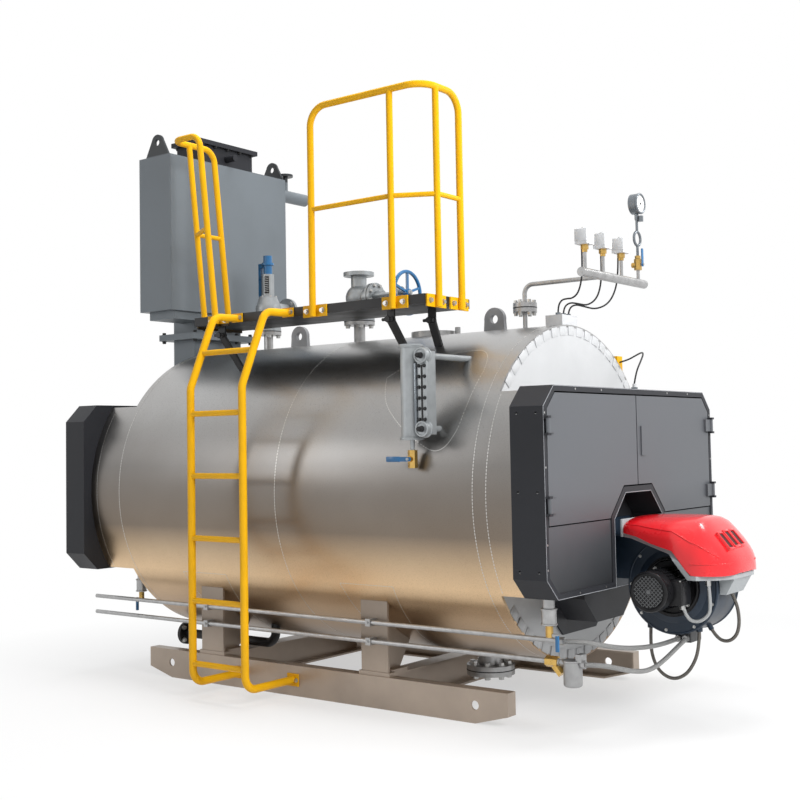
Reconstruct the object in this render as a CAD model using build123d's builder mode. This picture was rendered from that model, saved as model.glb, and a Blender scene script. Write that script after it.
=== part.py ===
from build123d import *
import os
from math import cos, radians, sin, sqrt, tan

os.makedirs("parts", exist_ok=True)

# Horizontal fire-tube steam boiler on a skid, with a burner, an economizer, a platform and a ladder.
# +X runs along the boiler towards the burner, -Y is the ladder side, +Z is up.
# The origin is on the floor, under the middle of the front cross beam.

# Fits
SEAT = 0.3                # room under a piece that sits on a curved face
PIN_FIT = 0.3             # radial room of a turning piece on its pin
MOVE_GAP = 6.0            # room round a panel that swings

# Jacketed boiler shell
JACKET_R = 779.0
JACKET_WALL = 12.0
SHELL_LOW = 201.0         # lowest line of the jacket above the floor
AXIS_Z = SHELL_LOW + JACKET_R
SHELL_REAR = -1621.0
SHELL_FRONT = 734.0
END_PLATE = 12.0
SHELL_TOP = AXIS_Z + JACKET_R

# Skid
RAIL_REAR = -1531.0
RAIL_LENGTH = 2262.0
RAIL_HEIGHT = 146.0
RAIL_OUTER = 620.0
RAIL_FLANGE = 62.0
RAIL_SHEET = 9.0
RAIL_TOE = 46.0           # height of the rail's end face above the floor
RAIL_TOE_RUN = 169.0
LIFT_HOLE_D = 40.0
LIFT_HOLE_IN = 169.0
LIFT_HOLE_Z = 78.0
BEAM_WIDTH = 100.0
BEAM_SHEET = 10.0

# Legs between the skid and the shell
LEG_X = (0.0, -1068.0)    # front and rear
LEG_OUTER = 606.0
LEG_WIDTH = 156.0
LEG_SHEET = 12.0
LEG_PAD = 18.0
LEG_PAD_IN = 420.0        # inner end of the pad and of the leg's web, from the middle
LEG_WEB_IN = 330.0

# Smoke boxes and their necks
BOX_HALF = JACKET_R + 50.0
BOX_WALL = 6.0
NECK_R = JACKET_R
NECK_WALL = 6.0
FRONT_NECK = 168.0
FRONT_BOX_BACK = SHELL_FRONT + FRONT_NECK
FRONT_BOX_DEPTH = 157.0
FRONT_BOX_Z = (AXIS_Z - 407.0, AXIS_Z + 464.0)
FRONT_BOX_CUT = 86.0
FRONT_NECK_Z = (AXIS_Z - 418.0, AXIS_Z + 452.0)
REAR_NECK = 201.0
REAR_BOX_FRONT = SHELL_REAR - REAR_NECK
REAR_BOX_DEPTH = 154.0
REAR_BOX_Z = (AXIS_Z - 425.0, AXIS_Z + 473.0)
REAR_BOX_CUT = 91.0
REAR_NECK_Z = (AXIS_Z - 418.0, AXIS_Z + 460.0)
REAR_COVER = 8.0
BOX_RIM = 25.0            # width of the frame round the front panels
BOX_LIP = 6.0             # thickness of that frame

# Burner well: a tall octagon in the front
WELL_HALF = 240.0
WELL_Z = (AXIS_Z - 582.0, AXIS_Z + 2.0)
WELL_CUT = 112.0
WELL_SKIRT = 66.0         # how far the plate on the end disc reaches past the well
WELL_SKIRT_SHEET = 10.0

# Front doors and lower panels
DOOR_LOW = AXIS_Z - 105.0
DOOR_THICK = 24.0
DOOR_SEAM = 8.0
PANEL_THICK = 8.0
PANEL_LAP = 12.0          # how far a fixed panel reaches behind the frame
HINGE_Z = (AXIS_Z - 25.0, AXIS_Z + 298.0)
HINGE_LENGTH = 80.0
HINGE_PIN_D = 10.0
HINGE_BARREL_D = 18.0
HINGE_OUT = 12.0          # hinge axis in front of the frame
HINGE_IN = 17.0           # hinge axis in from the box's side
HINGE_EAR = 10.0
HINGE_LEAF = 50.0
HANDLE_Y = (35.0, 84.0)
HANDLE_Z = (AXIS_Z + 162.0, AXIS_Z + 295.0)
HANDLE_THICK = 7.0

# Burner
FAN_X = FRONT_BOX_BACK + 363.0
FAN_Z = AXIS_Z - 402.0
FAN_R = 204.0
FAN_Y = (-120.0, 110.0)
BODY_Z = (FAN_Z + 22.0, FAN_Z + 209.0)
BODY_END = FAN_X - 75.0
BURNER_FLANGE_HALF = 190.0
BURNER_FLANGE = 16.0
MOTOR_R = 83.0
MOTOR_END = -352.0
MOTOR_FLANGE_R = 130.0
MOTOR_FLANGE = 8.0
TERMINAL_OUT = 35.0       # how far the terminal box stands off the motor
TERMINAL_LENGTH = 90.0
DAMPER_R = 165.0
DAMPER_DEPTH = 55.0
HOOD_REAR = FAN_X - 185.0
HOOD_TIP = FAN_X + 292.0
HOOD_HALF = 240.0
HOOD_REAR_HALF = 215.0
HOOD_TOP_HALF = 150.0
HOOD_TOP = FAN_Z + 302.0
HOOD_SHOULDER = 180.0     # height of the sloping sides
HOOD_REAR_LOW = HOOD_TOP - 72.0
HOOD_NOSE_LOW = HOOD_TOP - 240.0
TRIM_DEPTH = 18.0
BUMPER_LOW = HOOD_NOSE_LOW - 88.0
BUMPER_HALF = 95.0
HOOD_GAP = 1.0
PUMP_X = (FAN_X - 3.0, FAN_X + 67.0)
PUMP_Y = (-95.0, 15.0)
PUMP_LOW = FAN_Z - 240.0
GLAND_X = (FAN_X - 134.0, FAN_X + 92.0)
GLAND_Y = -60.0
CONDUIT_TOP = FAN_Z - 192.0
SIDE_GLAND_TURN = 57.0    # angle below the fan's axis of the gland for the hood's conduit
SIDE_GLAND_R = 228.0

# Economizer and flue
ECON_X = (REAR_BOX_FRONT + 53.0, REAR_BOX_FRONT + 315.0)
ECON_HALF = 475.0
ECON_LOW = SHELL_TOP + 220.0
ECON_Z = (ECON_LOW, ECON_LOW + 876.0)
ECON_BASE = 46.0
ECON_BASE_IN = 40.0
ECON_LUG_HALF = 92.0
ECON_LUG_EYE_Z = 76.0     # eye above the box's top
ECON_LUG_R = 46.0
ECON_LUG_EYE_D = 36.0
ECON_LUG_SHEET = 14.0
DUCT_X = (REAR_BOX_FRONT + 22.0, SHELL_REAR - 9.0)
DUCT_HALF = 190.0
DUCT_WALL = 6.0
DUCT_FLANGE = 18.0
DUCT_FLANGE_OUT = 60.0
DUCT_JOINT_Z = ECON_LOW - 127.0
FLUE_HALF = (95.0, 215.0)
FLUE_RISE = 110.0
FLUE_LIP = 26.0
FLUE_LIP_OUT = 24.0
ECON_PIPE_D = 76.0
ECON_PIPE_END = ECON_HALF + 235.0
ECON_PIPE_AT = (ECON_X[1] - 53.0, ECON_Z[1] - 87.0)
ECON_BRANCH_Y = ECON_HALF + 55.0
ECON_BRANCH_D = 30.0
ECON_BRANCH_TOP = ECON_Z[1] + 35.0
ECON_BRANCH_FLANGE_D = 95.0
POCKET_D = 38.0
POCKET_LENGTH = 75.0
POCKET_Z = ECON_Z[1] + 50.0

# Platform, ladder and guard rails
DECK_NEAR = 157.4 - JACKET_R
DECK_FAR = DECK_NEAR + 360.0
DECK_REAR = -1165.0
DECK_FRONT = DECK_REAR + 1502.0
DECK_LOW = SHELL_TOP + 88.0
DECK_TOP = DECK_LOW + 45.0
DECK_SHEET = 6.0
DECK_BAND = 8.0
STAY_X = (DECK_FRONT - 218.0, DECK_FRONT - 113.0, DECK_REAR + 176.0)
LONG_STAY_Y = (DECK_NEAR + 31.6, DECK_NEAR + 184.6)       # at the deck and on the shell
SHORT_STAY_Y = (DECK_NEAR + 211.6, DECK_NEAR + 271.6)
STAY_Y = (LONG_STAY_Y, SHORT_STAY_Y, LONG_STAY_Y)
STAY_DROP = 62.0          # straight length under the deck
STAY_WIDTH = 42.0
STAY_SHEET = 10.0
GUARD_D = 33.0
GUARD_POST_D = 31.0       # posts that end under the top rail
GUARD_MID_D = 24.0
GUARD_TOP = DECK_LOW + 1008.0
GUARD_MID = DECK_LOW + 509.0
GUARD_BEND = 95.0
GUARD_PLATE = (148.0, 58.0, 8.0)
GUARD_BITE = 3.0          # how deep a post is let into its plate
POST_X = (DECK_FRONT - 655.0, DECK_FRONT - 167.0)
END_POST_Y = (DECK_NEAR + 82.0, DECK_NEAR + 267.0)
REAR_POST_X = DECK_REAR + 184.0
REAR_POST_Y = (DECK_NEAR + 100.0, DECK_NEAR + 281.0)
REAR_GUARD_LEAN = 115.0
REAR_GUARD_BEND = 68.0
LADDER_D = 38.0
LADDER_X = (-845.5, -495.4)
LADDER_Y = DECK_NEAR - 330.4
LADDER_FOOT_Z = 78.0
LADDER_KNEE_Z = SHELL_TOP - 259.0
LADDER_HEAD = (LADDER_Y + 162.0, DECK_LOW + 15.0)
LADDER_BEND = 70.0
RUNG_D = 28.0
RUNG_FIRST = 175.0
RUNG_PITCH = 300.0
RUNG_COUNT = int((LADDER_HEAD[1] - RUNG_FIRST) / RUNG_PITCH) + 1
LADDER_EAR = (70.0, 60.0, 8.0)

# Top fittings
LUG_X = (313.0, -976.0)
LUG_HALF = 57.0
LUG_EYE_Z = SHELL_TOP + 59.0
LUG_EYE_D = 44.0
LUG_SHEET = 24.0
MANHOLE_X = -55.0
MANHOLE_D = 240.0
MANHOLE_TOP = SHELL_TOP + 20.0
PLUG_X = 88.0
STEAM_X = -550.0
STEAM_JOINT_Z = SHELL_TOP + 111.0
STEAM_TOP = STEAM_JOINT_Z + 265.0
STEAM_PIPE_D = 60.3
STEAM_FLANGE_D = 165.0
STEAM_FLANGE = 20.0
STEAM_BOLT_PCD = 125.0
STEAM_BOLT_D = 18.0
STEAM_BORE_D = 54.0
STEM_Z = STEAM_JOINT_Z + 128.0
STEAM_BODY_D = 84.0
STEAM_BALL_R = 72.0
BONNET_D = 96.0
BONNET_FLANGE_D = 142.0
YOKE_HALF = 34.0
YOKE_D = 20.0
STEM_D = 16.0
WHEEL_X = STEAM_X + 325.0
WHEEL_R = 120.0
WHEEL_RIM_D = 18.0
WHEEL_HUB_D = 40.0
WHEEL_HUB = 28.0
WHEEL_SPOKE = 12.0
SAFETY_X = -1219.0
SAFETY_JOINT_Z = SHELL_TOP + 102.0
SAFETY_FLANGE_D = 145.0
SAFETY_FLANGE = 20.0
SAFETY_PIPE_D = 51.0
SAFETY_CAP_Z = SAFETY_JOINT_Z + 329.0
SAFETY_TOP = SAFETY_CAP_Z + 107.0
SAFETY_BALL_Z = SAFETY_JOINT_Z + 129.0
SAFETY_BALL_R = 72.0
SAFETY_BODY_D = 70.0
SAFETY_SIDE_D = 82.0
SAFETY_SIDE = 150.0       # reach of the side outlet
SAFETY_SIDE_FLANGE_D = 150.0
SAFETY_COLLAR_D = 104.0
SAFETY_LEVER = 66.0

# Water level column on the near side
COLUMN_AT = (387.0, -JACKET_R - 23.0)
COLUMN_LOW = AXIS_Z + 249.0
COLUMN_Z = (COLUMN_LOW, COLUMN_LOW + 417.0)
COLUMN_D = 95.0
COLUMN_CAP_D = 106.0
COLUMN_CAP = 14.0
GLASS_X = COLUMN_AT[0] + 86.0
GLASS_Z = (COLUMN_LOW + 23.0, COLUMN_LOW + 383.0)
GLASS_SIZE = (46.0, 60.0)
GAUGE_PIPE_D = 27.0
GAUGE_PIPE_Z = (GLASS_Z[0] + 24.0, GLASS_Z[1] - 20.0)
DRAIN_COCK_Z = COLUMN_LOW - 82.0
DRAIN_COCK_D = 34.0
LEVER_LENGTH = 118.0
LEVER_OUT = 34.0
LEVER_PIN_D = 12.0

# Pressure manifold
TAP_X = 485.0
TAP_PIPE_D = 22.0
TAP_FLANGE_D = 116.0
TAP_FLANGE = 22.0
TAP_JOINT_Z = SHELL_TOP + 101.0
MANIFOLD_X = TAP_X + 435.0
MANIFOLD_Y = (-228.0, 407.0)
MANIFOLD_Z = TAP_JOINT_Z + 112.0
MANIFOLD_D = 42.0
SWITCH_Y = (-189.0, -16.0, 168.0)
SWITCH_Z = MANIFOLD_Z + 126.0
SWITCH_SIZE = (60.0, 72.0, 68.0)
STUB_D = 16.0
GAUGE_Y = 345.0
GAUGE_Z = MANIFOLD_Z + 388.0
GAUGE_D = 100.0
GAUGE_DEPTH = 42.0
SIPHON_Z = MANIFOLD_Z + 218.0
SIPHON_R = 34.0
SIPHON_D = 13.0
COCK_Z = MANIFOLD_Z + 90.0

# Fuel lines and drains on the near side
FUEL_Y = -640.0
FUEL_Z = (394.0, 308.0)
FUEL_D = 21.3
FUEL_REAR = -1952.0
FUEL_FRONT = (FRONT_BOX_BACK + 83.0, FRONT_BOX_BACK + 38.0)
UNION_LENGTH = 42.0
STRAINER_LENGTH = 62.0
FILTER_X = FUEL_FRONT[1] + 120.0
FILTER_D = 78.0
FILTER_LOW = FUEL_Z[1] - 94.0
FRONT_DRAIN_AT = (FRONT_BOX_BACK + 78.0, -684.0)
FRONT_DRAIN_D = 62.0
FRONT_DRAIN_LOW = FRONT_BOX_Z[0] - 111.0
REAR_DRAIN_AT = (SHELL_REAR - 84.0, -530.0)
REAR_DRAIN_D = 55.0
REAR_DRAIN_LOW = REAR_NECK_Z[0] - 142.0
NOZZLE_X = 243.0
NOZZLE_D = 114.0
NOZZLE_FLANGE_D = 235.0
NOZZLE_FLANGE = 24.0
NOZZLE_JOINT_Z = SHELL_LOW - 93.0
BLOWDOWN_Y = -320.0
BLOWDOWN_X = (-890.0, -1560.0)
BLOWDOWN_Z = SHELL_LOW - 25.0
BLOWDOWN_D = 48.3
BLOWDOWN_FLANGE_D = 122.0
BLOWDOWN_FLANGE = 20.0

# Junction box and cable glands
JUNCTION_X = (SHELL_FRONT - 52.0, SHELL_FRONT - 4.0)
JUNCTION_Y = (474.0, 528.0)
JUNCTION_TOP = SHELL_TOP - 125.0
ENTRY_X = (SHELL_FRONT - 94.0, SHELL_FRONT - 4.0)
ENTRY_HALF = 72.0
ENTRY_TOP = SHELL_TOP + 47.0
ENTRY_BASE = 80.0         # how far the block reaches down the shell's sides
GLAND_AT = (FRONT_BOX_BACK + 43.0, 220.0)
GLAND_D = 18.0
GLAND_TOP = FRONT_BOX_Z[1] + 34.0

# Free hoses and cables, each as the points of its route
FUEL_HOSE_D = 20.0
CONDUIT_D = 15.0
CABLE_D = 8.0

BOX_FRONT = FRONT_BOX_BACK + FRONT_BOX_DEPTH


def bar(x, y, z, mode=Mode.ADD):
    """Adds a rectangular bar between two limits on each axis."""
    with Locations(((x[0] + x[1]) / 2, (y[0] + y[1]) / 2, (z[0] + z[1]) / 2)):
        Box(x[1] - x[0], y[1] - y[0], z[1] - z[0], mode=mode)


def rod(start, end, diameter, mode=Mode.ADD):
    """Adds a round rod from one point to another."""
    run = Vector(*end) - Vector(*start)
    with Locations(Plane(origin=start, z_dir=run)):
        Cylinder(diameter / 2, run.length, align=(Align.CENTER, Align.CENTER, Align.MIN), mode=mode)


def add_outline(points, mode=Mode.ADD):
    """Adds or cuts a closed polygon in the sketch at hand."""
    with BuildLine() as edge:
        Polyline(*points, close=True)
    make_face(edge.edges(), mode=mode)


def plate(plane, depth, points, holes=(), mode=Mode.ADD):
    """Extrudes a polygon with cut-outs along the plane's normal."""
    with BuildSketch(plane) as profile:
        add_outline(points)
        for hole in holes:
            add_outline(hole, Mode.SUBTRACT)
    extrude(profile.sketch, amount=depth, mode=mode)


def side_plate(y, points, mode=Mode.ADD):
    """Extrudes a polygon of (x, z) points between two values of y."""
    plate(Plane.XZ.offset(-y[1]), y[1] - y[0], points, mode=mode)


def clear_shell(room=SEAT):
    """Cuts away what lies inside the jacket, so that a piece sits on it."""
    rod((SHELL_REAR, 0, AXIS_Z), (SHELL_FRONT, 0, AXIS_Z), 2 * (JACKET_R + room), Mode.SUBTRACT)


def octagon(half, z, cut, inset=0.0):
    """Gives the (y, z) corners of a box with four bevelled corners, drawn in by an inset."""
    wide = half - inset
    low = z[0] + inset
    high = z[1] - inset
    bevel = cut - inset * (2 - sqrt(2))
    return [
        (wide, low + bevel), (wide, high - bevel), (wide - bevel, high), (bevel - wide, high),
        (-wide, high - bevel), (-wide, low + bevel), (bevel - wide, low), (wide - bevel, low),
    ]


def front_outline(inset=0.0):
    return octagon(BOX_HALF, FRONT_BOX_Z, FRONT_BOX_CUT, inset)


def well_outline(inset=0.0):
    return octagon(WELL_HALF, WELL_Z, WELL_CUT, inset)


def neck_block(x, length, z, inset=0.0, mode=Mode.ADD):
    """Extrudes a disc whose top and bottom are cut flat."""
    with BuildSketch(Plane.YZ.offset(x)) as profile:
        with Locations((0, AXIS_Z)):
            Circle(NECK_R - inset)
        with Locations((0, (z[0] + z[1]) / 2)):
            Rectangle(2 * NECK_R, z[1] - z[0] - 2 * inset, mode=Mode.INTERSECT)
    extrude(profile.sketch, amount=length, mode=mode)


def bent_tube(points, bend, diameter):
    """Sweeps a round tube along straight runs joined by arcs."""
    with BuildLine() as route:
        FilletPolyline(*points, radius=bend)
    with BuildSketch(Plane(origin=route.line @ 0, z_dir=route.line % 0)) as section:
        Circle(diameter / 2)
    sweep(section.sketch, path=route.line)


def flange(centre, axis, diameter, thickness, bolts=()):
    """Adds a round flange that starts at a point and grows along an axis."""
    start = Vector(*centre)
    end = start + Vector(*axis).normalized() * thickness
    rod(tuple(start), tuple(end), diameter)
    if bolts:
        count, circle, hole = bolts
        with Locations(Plane(origin=centre, z_dir=axis)):
            with PolarLocations(circle / 2, count):
                Cylinder(hole / 2, thickness, align=(Align.CENTER, Align.CENTER, Align.MIN),
                         mode=Mode.SUBTRACT)


def eye_plate(x, y, base, eye_z, half, radius, eye, sheet):
    """Adds a lifting eye that stands in the plane of x and z."""
    with BuildSketch(Plane.XZ.offset(-(y + sheet / 2))) as outline:
        with Locations((x, eye_z)):
            Circle(radius)
        add_outline([
            (x - half, base), (x + half, base), (x + radius * 0.96, eye_z + radius * 0.28),
            (x - radius * 0.96, eye_z + radius * 0.28),
        ])
        with Locations((x, eye_z)):
            Circle(eye / 2, mode=Mode.SUBTRACT)
    extrude(outline.sketch, amount=sheet)


def finish(builder, label):
    """Names a finished piece and writes it."""
    builder.part.label = label
    export_step(builder.part, f"parts/{label}.step")


# Skid rails
RAIL_FRONT = RAIL_REAR + RAIL_LENGTH
RAIL_SIDE = [
    (RAIL_REAR, RAIL_TOE), (RAIL_REAR + RAIL_TOE_RUN, 0), (RAIL_FRONT - RAIL_TOE_RUN, 0),
    (RAIL_FRONT, RAIL_TOE), (RAIL_FRONT, RAIL_HEIGHT), (RAIL_REAR, RAIL_HEIGHT),
]
RAIL_INNER = RAIL_OUTER - RAIL_FLANGE
for side, name in ((-1, "near"), (1, "far")):
    outer = sorted((side * RAIL_OUTER, side * RAIL_INNER))
    pocket = sorted((side * (RAIL_OUTER - RAIL_SHEET), side * RAIL_INNER))
    with BuildPart() as skid_rail:
        side_plate(outer, RAIL_SIDE)
        with BuildSketch(Plane.XZ.offset(-pocket[1])) as hollow:
            add_outline(RAIL_SIDE)
            offset(amount=-RAIL_SHEET, kind=Kind.INTERSECTION, mode=Mode.REPLACE)
        extrude(hollow.sketch, amount=pocket[1] - pocket[0], mode=Mode.SUBTRACT)
        for hole_x in (RAIL_REAR + LIFT_HOLE_IN, RAIL_FRONT - LIFT_HOLE_IN):
            rod((hole_x, outer[0], LIFT_HOLE_Z), (hole_x, outer[1], LIFT_HOLE_Z), LIFT_HOLE_D, Mode.SUBTRACT)
    finish(skid_rail, f"skid_rail_{name}")

# Cross beams and legs
with BuildPart() as cross_beams:
    beam_y = (-RAIL_INNER, RAIL_INNER)
    for leg_x in LEG_X:
        beam_x = (leg_x - BEAM_WIDTH / 2, leg_x + BEAM_WIDTH / 2)
        bar(beam_x, beam_y, (0, BEAM_SHEET))
        bar((leg_x - BEAM_SHEET / 2, leg_x + BEAM_SHEET / 2), beam_y, (0, RAIL_HEIGHT))
        bar(beam_x, beam_y, (RAIL_HEIGHT - BEAM_SHEET, RAIL_HEIGHT))
finish(cross_beams, "cross_beams")

PAD_TOP = RAIL_HEIGHT + LEG_PAD
for leg_x, place in zip(LEG_X, ("front", "rear")):
    with BuildPart() as legs:
        for side in (-1, 1):
            bar((leg_x - LEG_WIDTH / 2 - 12, leg_x + LEG_WIDTH / 2 + 12),
                sorted((side * (LEG_OUTER + 6), side * RAIL_INNER)), (RAIL_HEIGHT, PAD_TOP))
            bar((leg_x - BEAM_WIDTH / 2, leg_x + BEAM_WIDTH / 2),
                sorted((side * RAIL_INNER, side * LEG_PAD_IN)), (RAIL_HEIGHT, PAD_TOP))
            bar((leg_x - LEG_WIDTH / 2, leg_x + LEG_WIDTH / 2),
                sorted((side * LEG_OUTER, side * (LEG_OUTER - LEG_SHEET))), (PAD_TOP, AXIS_Z))
            plate(Plane.YZ.offset(leg_x - LEG_SHEET / 2), LEG_SHEET, [
                (side * (LEG_OUTER - LEG_SHEET), PAD_TOP), (side * LEG_PAD_IN, PAD_TOP),
                (side * LEG_WEB_IN, SHELL_LOW + 90), (side * LEG_WEB_IN, AXIS_Z),
                (side * (LEG_OUTER - LEG_SHEET), AXIS_Z),
            ])
        clear_shell()
    finish(legs, f"{place}_legs")

# Boiler shell and its end plates
with BuildPart() as boiler_shell:
    rod((SHELL_REAR, 0, AXIS_Z), (SHELL_FRONT, 0, AXIS_Z), 2 * JACKET_R)
    rod((SHELL_REAR, 0, AXIS_Z), (SHELL_FRONT, 0, AXIS_Z), 2 * (JACKET_R - JACKET_WALL), Mode.SUBTRACT)
finish(boiler_shell, "boiler_shell")

END_R = JACKET_R - JACKET_WALL - SEAT
with BuildPart() as front_end_plate:
    rod((SHELL_FRONT - END_PLATE, 0, AXIS_Z), (SHELL_FRONT, 0, AXIS_Z), 2 * END_R)
finish(front_end_plate, "front_end_plate")

with BuildPart() as rear_end_plate:
    rod((SHELL_REAR, 0, AXIS_Z), (SHELL_REAR + END_PLATE, 0, AXIS_Z), 2 * END_R)
finish(rear_end_plate, "rear_end_plate")

# Burner mount: the furnace front, with a skirt plate on the end disc below the neck
with BuildPart() as burner_mount:
    plate(Plane.YZ.offset(SHELL_FRONT), FRONT_NECK, well_outline())
    skirt_half = WELL_HALF + WELL_SKIRT
    skirt_low = WELL_Z[0] - WELL_SKIRT
    skirt_bevel = WELL_CUT + WELL_SKIRT * (2 - sqrt(2))
    skirt_top = FRONT_NECK_Z[0] - MOVE_GAP
    plate(Plane.YZ.offset(SHELL_FRONT), WELL_SKIRT_SHEET, [
        (skirt_bevel - skirt_half, skirt_low), (skirt_half - skirt_bevel, skirt_low),
        (skirt_half, skirt_low + skirt_bevel), (skirt_half, skirt_top),
        (-skirt_half, skirt_top), (-skirt_half, skirt_low + skirt_bevel),
    ])
finish(burner_mount, "burner_mount")

# Necks between the shell and the smoke boxes
with BuildPart() as front_neck:
    neck_block(SHELL_FRONT, FRONT_NECK, FRONT_NECK_Z)
    neck_block(SHELL_FRONT, FRONT_NECK, FRONT_NECK_Z, NECK_WALL, Mode.SUBTRACT)
    plate(Plane.YZ.offset(SHELL_FRONT), FRONT_NECK, well_outline(-SEAT), mode=Mode.SUBTRACT)
finish(front_neck, "front_neck")

with BuildPart() as rear_neck:
    neck_block(REAR_BOX_FRONT, REAR_NECK, REAR_NECK_Z)
    neck_block(REAR_BOX_FRONT, REAR_NECK, REAR_NECK_Z, NECK_WALL, Mode.SUBTRACT)
finish(rear_neck, "rear_neck")

# Front smoke box: open towards the doors, with a frame round the panels and the hinge pins on it
HINGE_AT_X = BOX_FRONT + HINGE_OUT
HINGE_AT_Y = BOX_HALF - HINGE_IN
with BuildPart() as front_smokebox:
    plate(Plane.YZ.offset(FRONT_BOX_BACK), FRONT_BOX_DEPTH, front_outline(), [well_outline()])
    plate(Plane.YZ.offset(FRONT_BOX_BACK + BOX_WALL), FRONT_BOX_DEPTH - BOX_WALL - BOX_LIP,
          front_outline(BOX_WALL), [well_outline(-BOX_WALL)], Mode.SUBTRACT)
    plate(Plane.YZ.offset(BOX_FRONT - BOX_LIP), BOX_LIP,
          front_outline(BOX_RIM), [well_outline(-BOX_RIM)], Mode.SUBTRACT)
    for side in (-1, 1):
        hinge_y = side * HINGE_AT_Y
        ear_y = sorted((hinge_y - side * HINGE_PIN_D, side * (BOX_HALF - 2)))
        for hinge_z in HINGE_Z:
            pin_z = (hinge_z - HINGE_LENGTH / 2, hinge_z + HINGE_LENGTH / 2)
            rod((HINGE_AT_X, hinge_y, pin_z[0]), (HINGE_AT_X, hinge_y, pin_z[1]), HINGE_PIN_D)
            for ear_z in ((pin_z[0], pin_z[0] + HINGE_EAR), (pin_z[1] - HINGE_EAR, pin_z[1])):
                bar((BOX_FRONT, HINGE_AT_X + HINGE_PIN_D), ear_y, ear_z)
finish(front_smokebox, "front_smokebox")


def front_panel(x, thickness, inset, y, z):
    """Adds a front panel: the framed opening, cut down to one range of y and z."""
    with BuildSketch(Plane.YZ.offset(x)) as profile:
        add_outline(front_outline(inset))
        add_outline(well_outline(-inset), Mode.SUBTRACT)
        with Locations(((y[0] + y[1]) / 2, (z[0] + z[1]) / 2)):
            Rectangle(y[1] - y[0], z[1] - z[0], mode=Mode.INTERSECT)
    extrude(profile.sketch, amount=thickness)


BARREL_HALF = HINGE_LENGTH / 2 - HINGE_EAR - PIN_FIT
for side, name in ((-1, "near"), (1, "far")):
    hinge_y = side * HINGE_AT_Y
    door_edge = side * (BOX_HALF - BOX_RIM - MOVE_GAP)
    with BuildPart() as door:
        front_panel(BOX_FRONT - DOOR_THICK, DOOR_THICK, BOX_RIM + MOVE_GAP,
                    sorted((side * DOOR_SEAM / 2, side * BOX_HALF)), (DOOR_LOW, FRONT_BOX_Z[1]))
        for hinge_z in HINGE_Z:
            barrel_z = (hinge_z - BARREL_HALF, hinge_z + BARREL_HALF)
            bar((BOX_FRONT, HINGE_AT_X), sorted((door_edge, door_edge - side * HINGE_LEAF)), barrel_z)
            bar((BOX_FRONT + MOVE_GAP - 1, HINGE_AT_X), sorted((door_edge, hinge_y)), barrel_z)
            rod((HINGE_AT_X, hinge_y, barrel_z[0]), (HINGE_AT_X, hinge_y, barrel_z[1]), HINGE_BARREL_D)
            rod((HINGE_AT_X, hinge_y, barrel_z[0]), (HINGE_AT_X, hinge_y, barrel_z[1]),
                HINGE_PIN_D + 2 * PIN_FIT, Mode.SUBTRACT)
        if side > 0:
            bar((BOX_FRONT, BOX_FRONT + HANDLE_THICK), HANDLE_Y, HANDLE_Z)
    finish(door, f"{name}_door")

with BuildPart() as lower_panels:
    for side in (-1, 1):
        front_panel(BOX_FRONT - BOX_LIP - PANEL_THICK, PANEL_THICK, BOX_RIM - PANEL_LAP,
                    sorted((0, side * BOX_HALF)), (FRONT_BOX_Z[0], DOOR_LOW - MOVE_GAP))
finish(lower_panels, "lower_panels")

# Rear smoke box and its cover
with BuildPart() as rear_smokebox:
    box_length = REAR_BOX_DEPTH - REAR_COVER
    rear_x = REAR_BOX_FRONT - box_length
    plate(Plane.YZ.offset(rear_x), box_length, octagon(BOX_HALF, REAR_BOX_Z, REAR_BOX_CUT))
    plate(Plane.YZ.offset(rear_x), box_length - BOX_WALL,
          octagon(BOX_HALF, REAR_BOX_Z, REAR_BOX_CUT, BOX_WALL), mode=Mode.SUBTRACT)
finish(rear_smokebox, "rear_smokebox")

with BuildPart() as rear_cover:
    plate(Plane.YZ.offset(REAR_BOX_FRONT - REAR_BOX_DEPTH), REAR_COVER,
          octagon(BOX_HALF, REAR_BOX_Z, REAR_BOX_CUT))
finish(rear_cover, "rear_cover")

# Burner: a fan casing with the air duct into the furnace front, an air damper and cable glands
gland_way = (cos(radians(SIDE_GLAND_TURN)), -sin(radians(SIDE_GLAND_TURN)))
SIDE_GLAND = (FAN_X + SIDE_GLAND_R * gland_way[0], 0, FAN_Z + SIDE_GLAND_R * gland_way[1])
TERMINAL_X = FAN_X + MOTOR_R + TERMINAL_OUT
TERMINAL_LOW = FAN_Z - 55.0
with BuildPart() as burner_casing:
    rod((FAN_X, FAN_Y[0], FAN_Z), (FAN_X, FAN_Y[1], FAN_Z), 2 * FAN_R)
    bar((FRONT_BOX_BACK, BODY_END), FAN_Y, BODY_Z)
    bar((FRONT_BOX_BACK, FRONT_BOX_BACK + BURNER_FLANGE), (-BURNER_FLANGE_HALF, BURNER_FLANGE_HALF),
        (FAN_Z - 40, BODY_Z[1] + 70))
    rod((FAN_X, FAN_Y[1], FAN_Z), (FAN_X, FAN_Y[1] + DAMPER_DEPTH, FAN_Z), 2 * DAMPER_R)
    for gland_x in GLAND_X:
        rod((gland_x, GLAND_Y, CONDUIT_TOP), (gland_x, GLAND_Y, FAN_Z), 1.5 * CONDUIT_D)
    rod((FAN_X, 0, FAN_Z), SIDE_GLAND, 1.5 * CONDUIT_D)
finish(burner_casing, "burner_casing")

with BuildPart() as fan_motor:
    rod((FAN_X, FAN_Y[0], FAN_Z), (FAN_X, FAN_Y[0] - MOTOR_FLANGE, FAN_Z), 2 * MOTOR_FLANGE_R)
    rod((FAN_X, FAN_Y[0] - MOTOR_FLANGE, FAN_Z), (FAN_X, MOTOR_END, FAN_Z), 2 * MOTOR_R)
    terminal_y = (MOTOR_END + 60, MOTOR_END + 60 + TERMINAL_LENGTH)
    bar((TERMINAL_X - 60, TERMINAL_X), terminal_y, (TERMINAL_LOW, FAN_Z + 38))
finish(fan_motor, "fan_motor")

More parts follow.
